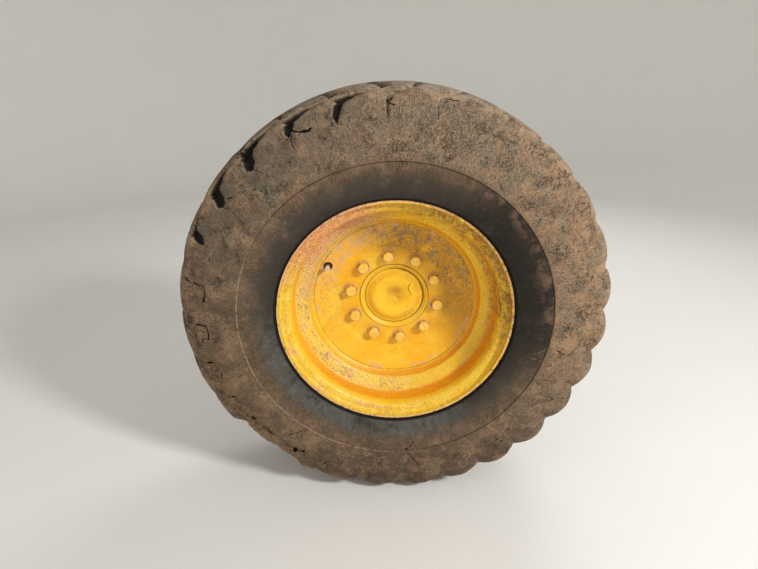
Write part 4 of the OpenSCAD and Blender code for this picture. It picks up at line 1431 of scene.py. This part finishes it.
@dataclass
class WheelBolts:
    """Ten six-sided bolts, each with its round washer."""

    head_af: float = 31.0
    head_h: float = 18.0
    corner: float = 1.125
    shank_r: float = 10.8
    tail_y: float = 66.0
    washer_r: float = 23.0
    washer_t: float = 4.0
    turn_step: float = 23.0
    head_wear: float = 0.16
    washer_wear: float = 0.08
    seat_gap: float = 0.02
    around: int = 72

    def bolt(self, turn: float) -> tuple[np.ndarray, list[list[int]]]:
        """One bolt along +Y from its head's face.

        Args:
            turn: how far the head is turned, in degrees.

        Returns:
            Its points and faces.
        """
        clock = np.arange(self.around) * FULL_TURN / self.around
        flat = (np.radians(clock) - math.radians(turn)) % (math.pi / 3) - math.pi / 6
        half, neck = self.head_af / 2, self.tail_y - 14
        six = np.minimum(half / np.cos(flat), half * self.corner)
        # places along the head, and how round its edges are turned, as shares of half its width
        head = ((0.35, 0.5), (0.0, 0.8), (0.0, 0.91), (0.5, 0.97), (1.3, 1.02), (2.6, 1.09), (4.6, 1.16),
                (12.0, 1.16), (self.head_h - 0.8, 1.16), (self.head_h, 1.13))
        shank = [(self.head_h, 1.0), (neck, 1.0), *((neck + k, 1.0 if k % 2 else 0.93) for k in range(1, 13)),
                 (self.tail_y - 1.5, 0.97), (self.tail_y, 0.86)]
        rings = [on_wheel(np.minimum(six, half * limit), y, clock) for y, limit in head]
        rings += [on_wheel(self.shank_r * share, y, clock) for y, share in shank]
        points, faces = np.concatenate(rings), grid_faces(len(rings), self.around, False)
        ends = [list(range(first, first + self.around)) for first in (0, len(points) - self.around)]
        return points, faces + ends

    def washer(self) -> tuple[np.ndarray, list[list[int]]]:
        """One washer along +Y, with worn edges and a hole for the shank.

        Returns:
            Its points and faces.
        """
        inner, outer, thick = self.shank_r + 0.6, self.washer_r, self.washer_t
        profile = ((inner, 0.6), (inner + 0.6, 0.05), (outer - 2.4, 0.0), (outer - 0.9, 0.35),
                   (outer - 0.1, 1.2), (outer, 2.2), (outer - 0.3, thick - 0.3), (outer - 1.0, thick),
                   (inner, thick))
        clock = np.arange(self.around) * FULL_TURN / self.around
        points = np.concatenate([on_wheel(r, y, clock) for r, y in profile])
        return points, grid_faces(len(profile), self.around, True)

    def build(self) -> None:
        """Make the bolts as one piece and the washers as another, each a little worn."""
        for piece, made, lift, wear in (
                (Piece("wheel_bolts_worn", "yellow_paint", BOLT_ENAMEL, ("wheel_bolts",)),
                 [self.bolt(-self.turn_step * k) for k in range(BOLT_COUNT)], 0.0, self.head_wear),
                (Piece("bolt_washers_worn", "primer_washer", WASHER_PRIMER, ("bolt_washers",)),
                 [self.washer()] * BOLT_COUNT, self.head_h, self.washer_wear)):
            points, faces = np.empty((0, 3)), []
            for k, (shape, joined) in enumerate(made):
                centre = on_wheel(BOLT_CIRCLE_R, lift, FULL_TURN / BOLT_COUNT * k + BOLT_PHASE)
                rough = wear * lumps(shape + 90.0 * k, 7.0)[:, None] * [1, 0.6, 1]
                faces += [[len(points) + i for i in face] for face in joined]
                points = np.concatenate([points, shape + centre + rough])
            points[:, 1] = np.maximum(points[:, 1], lift + self.seat_gap)
            piece.make(points, faces)


@dataclass
class ValveEnd:
    """What shows of the valve: a knurled cap on its stem, and a black rubber grommet in the disc's hole whose
    black stands in for the hole's shade.
    """

    clock: float = 298.0
    valve_r: float = 240.0
    stem_r: float = 6.0
    stem_out: float = 20.0
    hole_r: float = 15.0
    cap_out: float = 10.0
    rib_h: float = 0.3
    rib_count: int = 24
    around: int = 96

    def turned(self, profile: Sequence[tuple[float, float]], knurl: Callable[[float, np.ndarray], np.ndarray]
               ) -> tuple[np.ndarray, list[list[int]]]:
        """Turn a closed profile about the stem's axis.

        Args:
            profile: points of radius, and of depth from the disc's face.
            knurl: gives how far the points of a ring stand out, from its depth and their angles.

        Returns:
            The points and faces.
        """
        clock = np.arange(self.around) * FULL_TURN / self.around
        centre = on_wheel(self.valve_r, disc_face(self.valve_r), self.clock)
        rings = [on_wheel(r + knurl(y, np.radians(clock)), y, clock) + centre for r, y in profile]
        return np.concatenate(rings), grid_faces(len(rings), self.around, True)

    def build(self) -> None:
        """Make the cap and the grommet."""
        top = -self.stem_out - self.cap_out
        cap_r, bore = self.stem_r + 2, self.stem_r + 0.1
        cap = [(0.02, top + 0.3), (cap_r - 2.4, top), (cap_r - 1.2, top + 0.5), (cap_r - 0.7, top + 1.6)]
        cap += [(cap_r - 0.35, top + y) for y in np.linspace(2.4, 11.6, 8)]
        cap += [(cap_r - 0.9, top + 12.6), (cap_r - 0.2, top + 13.4), (cap_r - 0.2, top + 15.2),
                (cap_r - 0.7, top + 16), (bore, top + 16), (bore, top + 10.3), (0.02, top + 10.3)]

        def ribs(y: float, angle: np.ndarray) -> np.ndarray:
            """Ribs along the cap's grip."""
            return self.rib_h * np.cos(self.rib_count * angle) * (2.0 < y - top < 12.0)

        Piece("valve_cap_knurled", "seal_rubber", CAP_PLASTIC, ("valve_cap",)).make(*self.turned(cap, ribs))
        # the grommet's black stands in for the shade inside the valve hole
        inner, outer = self.stem_r + 0.2, self.hole_r - 0.3
        grommet = ((inner, 6.4), (inner + 1.4, 4.6), (outer - 2.5, 4.8), (outer - 0.6, 5.6), (outer, 7.2),
                   (outer, 14), (outer - 1.5, 15.5), (inner, 15.5))
        uneven = self.turned(grommet, lambda y, angle: 0.12 * np.sin(7 * angle + y))
        Piece("valve_grommet_hole_shade", "seal_rubber", SEAL_RUBBER).make(*uneven)


def dress_cad_nodes() -> None:
    """Give each CAD node that still shows its finish."""
    finishes = {
        "disc": DISC_ENAMEL, "hub": HUB_ENAMEL, "knuckle": CAST_ENAMEL, "steering_arm": CAST_ENAMEL,
        "hub_seal": SEAL_RUBBER, "valve_base": SEAL_RUBBER, "valve_stem": VALVE_BRASS,
        "spindle": BARE_STEEL, "spindle_screws": BARE_STEEL, "arm_bolts": BARE_STEEL,
        "kingpin_bushes": BRONZE}
    for node, finish in finishes.items():
        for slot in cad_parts[node].material_slots:
            slot.material = finish.material()
        LOG.info("%s: %s", node, finish.name)


# The studio

@dataclass(frozen=True)
class Lamp:
    """A round soft lamp, with its place and size in metres and its power in watts."""

    name: str
    place: tuple[float, float, float]
    size: float
    power: float
    aim: tuple[float, float, float] = (0.0, -0.4, 0.0)

    def hang(self) -> None:
        """Hang the lamp and turn it to what it lights."""
        light = bpy.data.lights.new(self.name, "AREA")
        light.shape, light.size, light.energy = "DISK", self.size, self.power
        holder = bpy.data.objects.new(self.name, light)
        bpy.context.scene.collection.objects.link(holder)
        holder.location = self.place
        x, y, z = np.subtract(self.place, self.aim)
        holder.rotation_euler = (math.atan2(math.hypot(x, y), z), 0.0, math.atan2(x, -y))


@dataclass
class Studio:
    """Pale floor and backdrop, soft lamps, and the camera at the photograph's viewing angle."""

    floor_z: float = -0.6662
    reach: float = 6.4
    bend: float = 1.6
    wall_h: float = 4.2
    columns: int = 96
    camera_at: tuple[float, float, float] = (-0.0459, -1.9728, 0.6992)
    tilt_down: float = 21.62
    turn: float = 0.12
    lens: float = 25.98
    sensor: float = 36.0
    lamps: tuple[Lamp, ...] = (
        Lamp("key", (3.1, -2.9, 2.6), 0.8, 186.0),
        Lamp("fill_left", (-3.4, -3.2, 1.6), 2.6, 30.0),
        Lamp("fill_back", (1.5, 2.6, 2.8), 2.0, 52.0))

    def stage(self) -> None:
        """Make the floor and the backdrop as one round sweep."""
        flat = self.reach - self.bend
        profile = [(flat * share, 0.0) for share in (0.35, 0.7)]
        profile += [(flat + self.bend * math.sin(a), self.bend * (1 - math.cos(a)))
                    for a in np.linspace(0, math.pi / 2, 14)]
        profile.append((self.reach, self.wall_h))
        turns = [2 * math.pi * k / self.columns for k in range(self.columns)]
        points = [(0.0, 0.0, self.floor_z)]
        points += [(r * math.cos(a), r * math.sin(a), self.floor_z + z) for r, z in profile for a in turns]
        faces = [[0, 1 + k, 1 + (k + 1) % self.columns] for k in range(self.columns)]
        faces += [[1 + i for i in face[::-1]] for face in grid_faces(len(profile), self.columns, False)]
        mesh = bpy.data.meshes.new("studio_sweep")
        mesh.from_pydata(points, [], faces)
        mesh.polygons.foreach_set("use_smooth", [True] * len(mesh.polygons))
        # calendered paper: pale, flat and barely clouded
        paper = Finish("paper_pale_matt", "#E6E4DF", 0.9, coats=(Coat("#E9E7E2", 400.0, 0.5, 0.2, 0.5),))
        mesh.materials.append(paper.material())
        sweep = bpy.data.objects.new("studio_sweep", mesh)
        bpy.context.scene.collection.objects.link(sweep)

    def light(self) -> None:
        """Light the wheel: a broad key from the upper right, two weaker fills, and air."""
        for lamp in self.lamps:
            lamp.hang()
        world = bpy.data.worlds.new("studio_air")
        world.use_nodes = True
        tree = world.node_tree
        tree.nodes.clear()
        air = add_node(tree, "ShaderNodeBackground", {"Color": linear("#F7F6F3"), "Strength": 0.38})
        add_node(tree, "ShaderNodeOutputWorld", {"Surface": air.outputs[0]})
        bpy.context.scene.world = world

    def camera(self) -> None:
        """Put the camera at the photograph's viewing angle."""
        data = bpy.data.cameras.new("photo_camera")
        data.lens, data.sensor_width = self.lens, self.sensor
        eye = bpy.data.objects.new("photo_camera", data)
        bpy.context.scene.collection.objects.link(eye)
        eye.location = self.camera_at
        eye.rotation_euler = (math.radians(90.0 - self.tilt_down), 0.0, math.radians(self.turn))
        bpy.context.scene.camera = eye


def main() -> None:
    """Build the wheel's pieces in order, then the studio around them."""
    logging.basicConfig(level=logging.INFO, format="%(name)s %(message)s")
    bpy.context.scene.view_settings.view_transform = "Standard"
    for part in (WornTyre(), WornRim(), WeldBeads(), HubCap(), WheelBolts(), ValveEnd()):
        part.build()
    dress_cad_nodes()
    studio = Studio()
    studio.stage()
    studio.light()
    studio.camera()


if __name__ == "__main__":
    main()
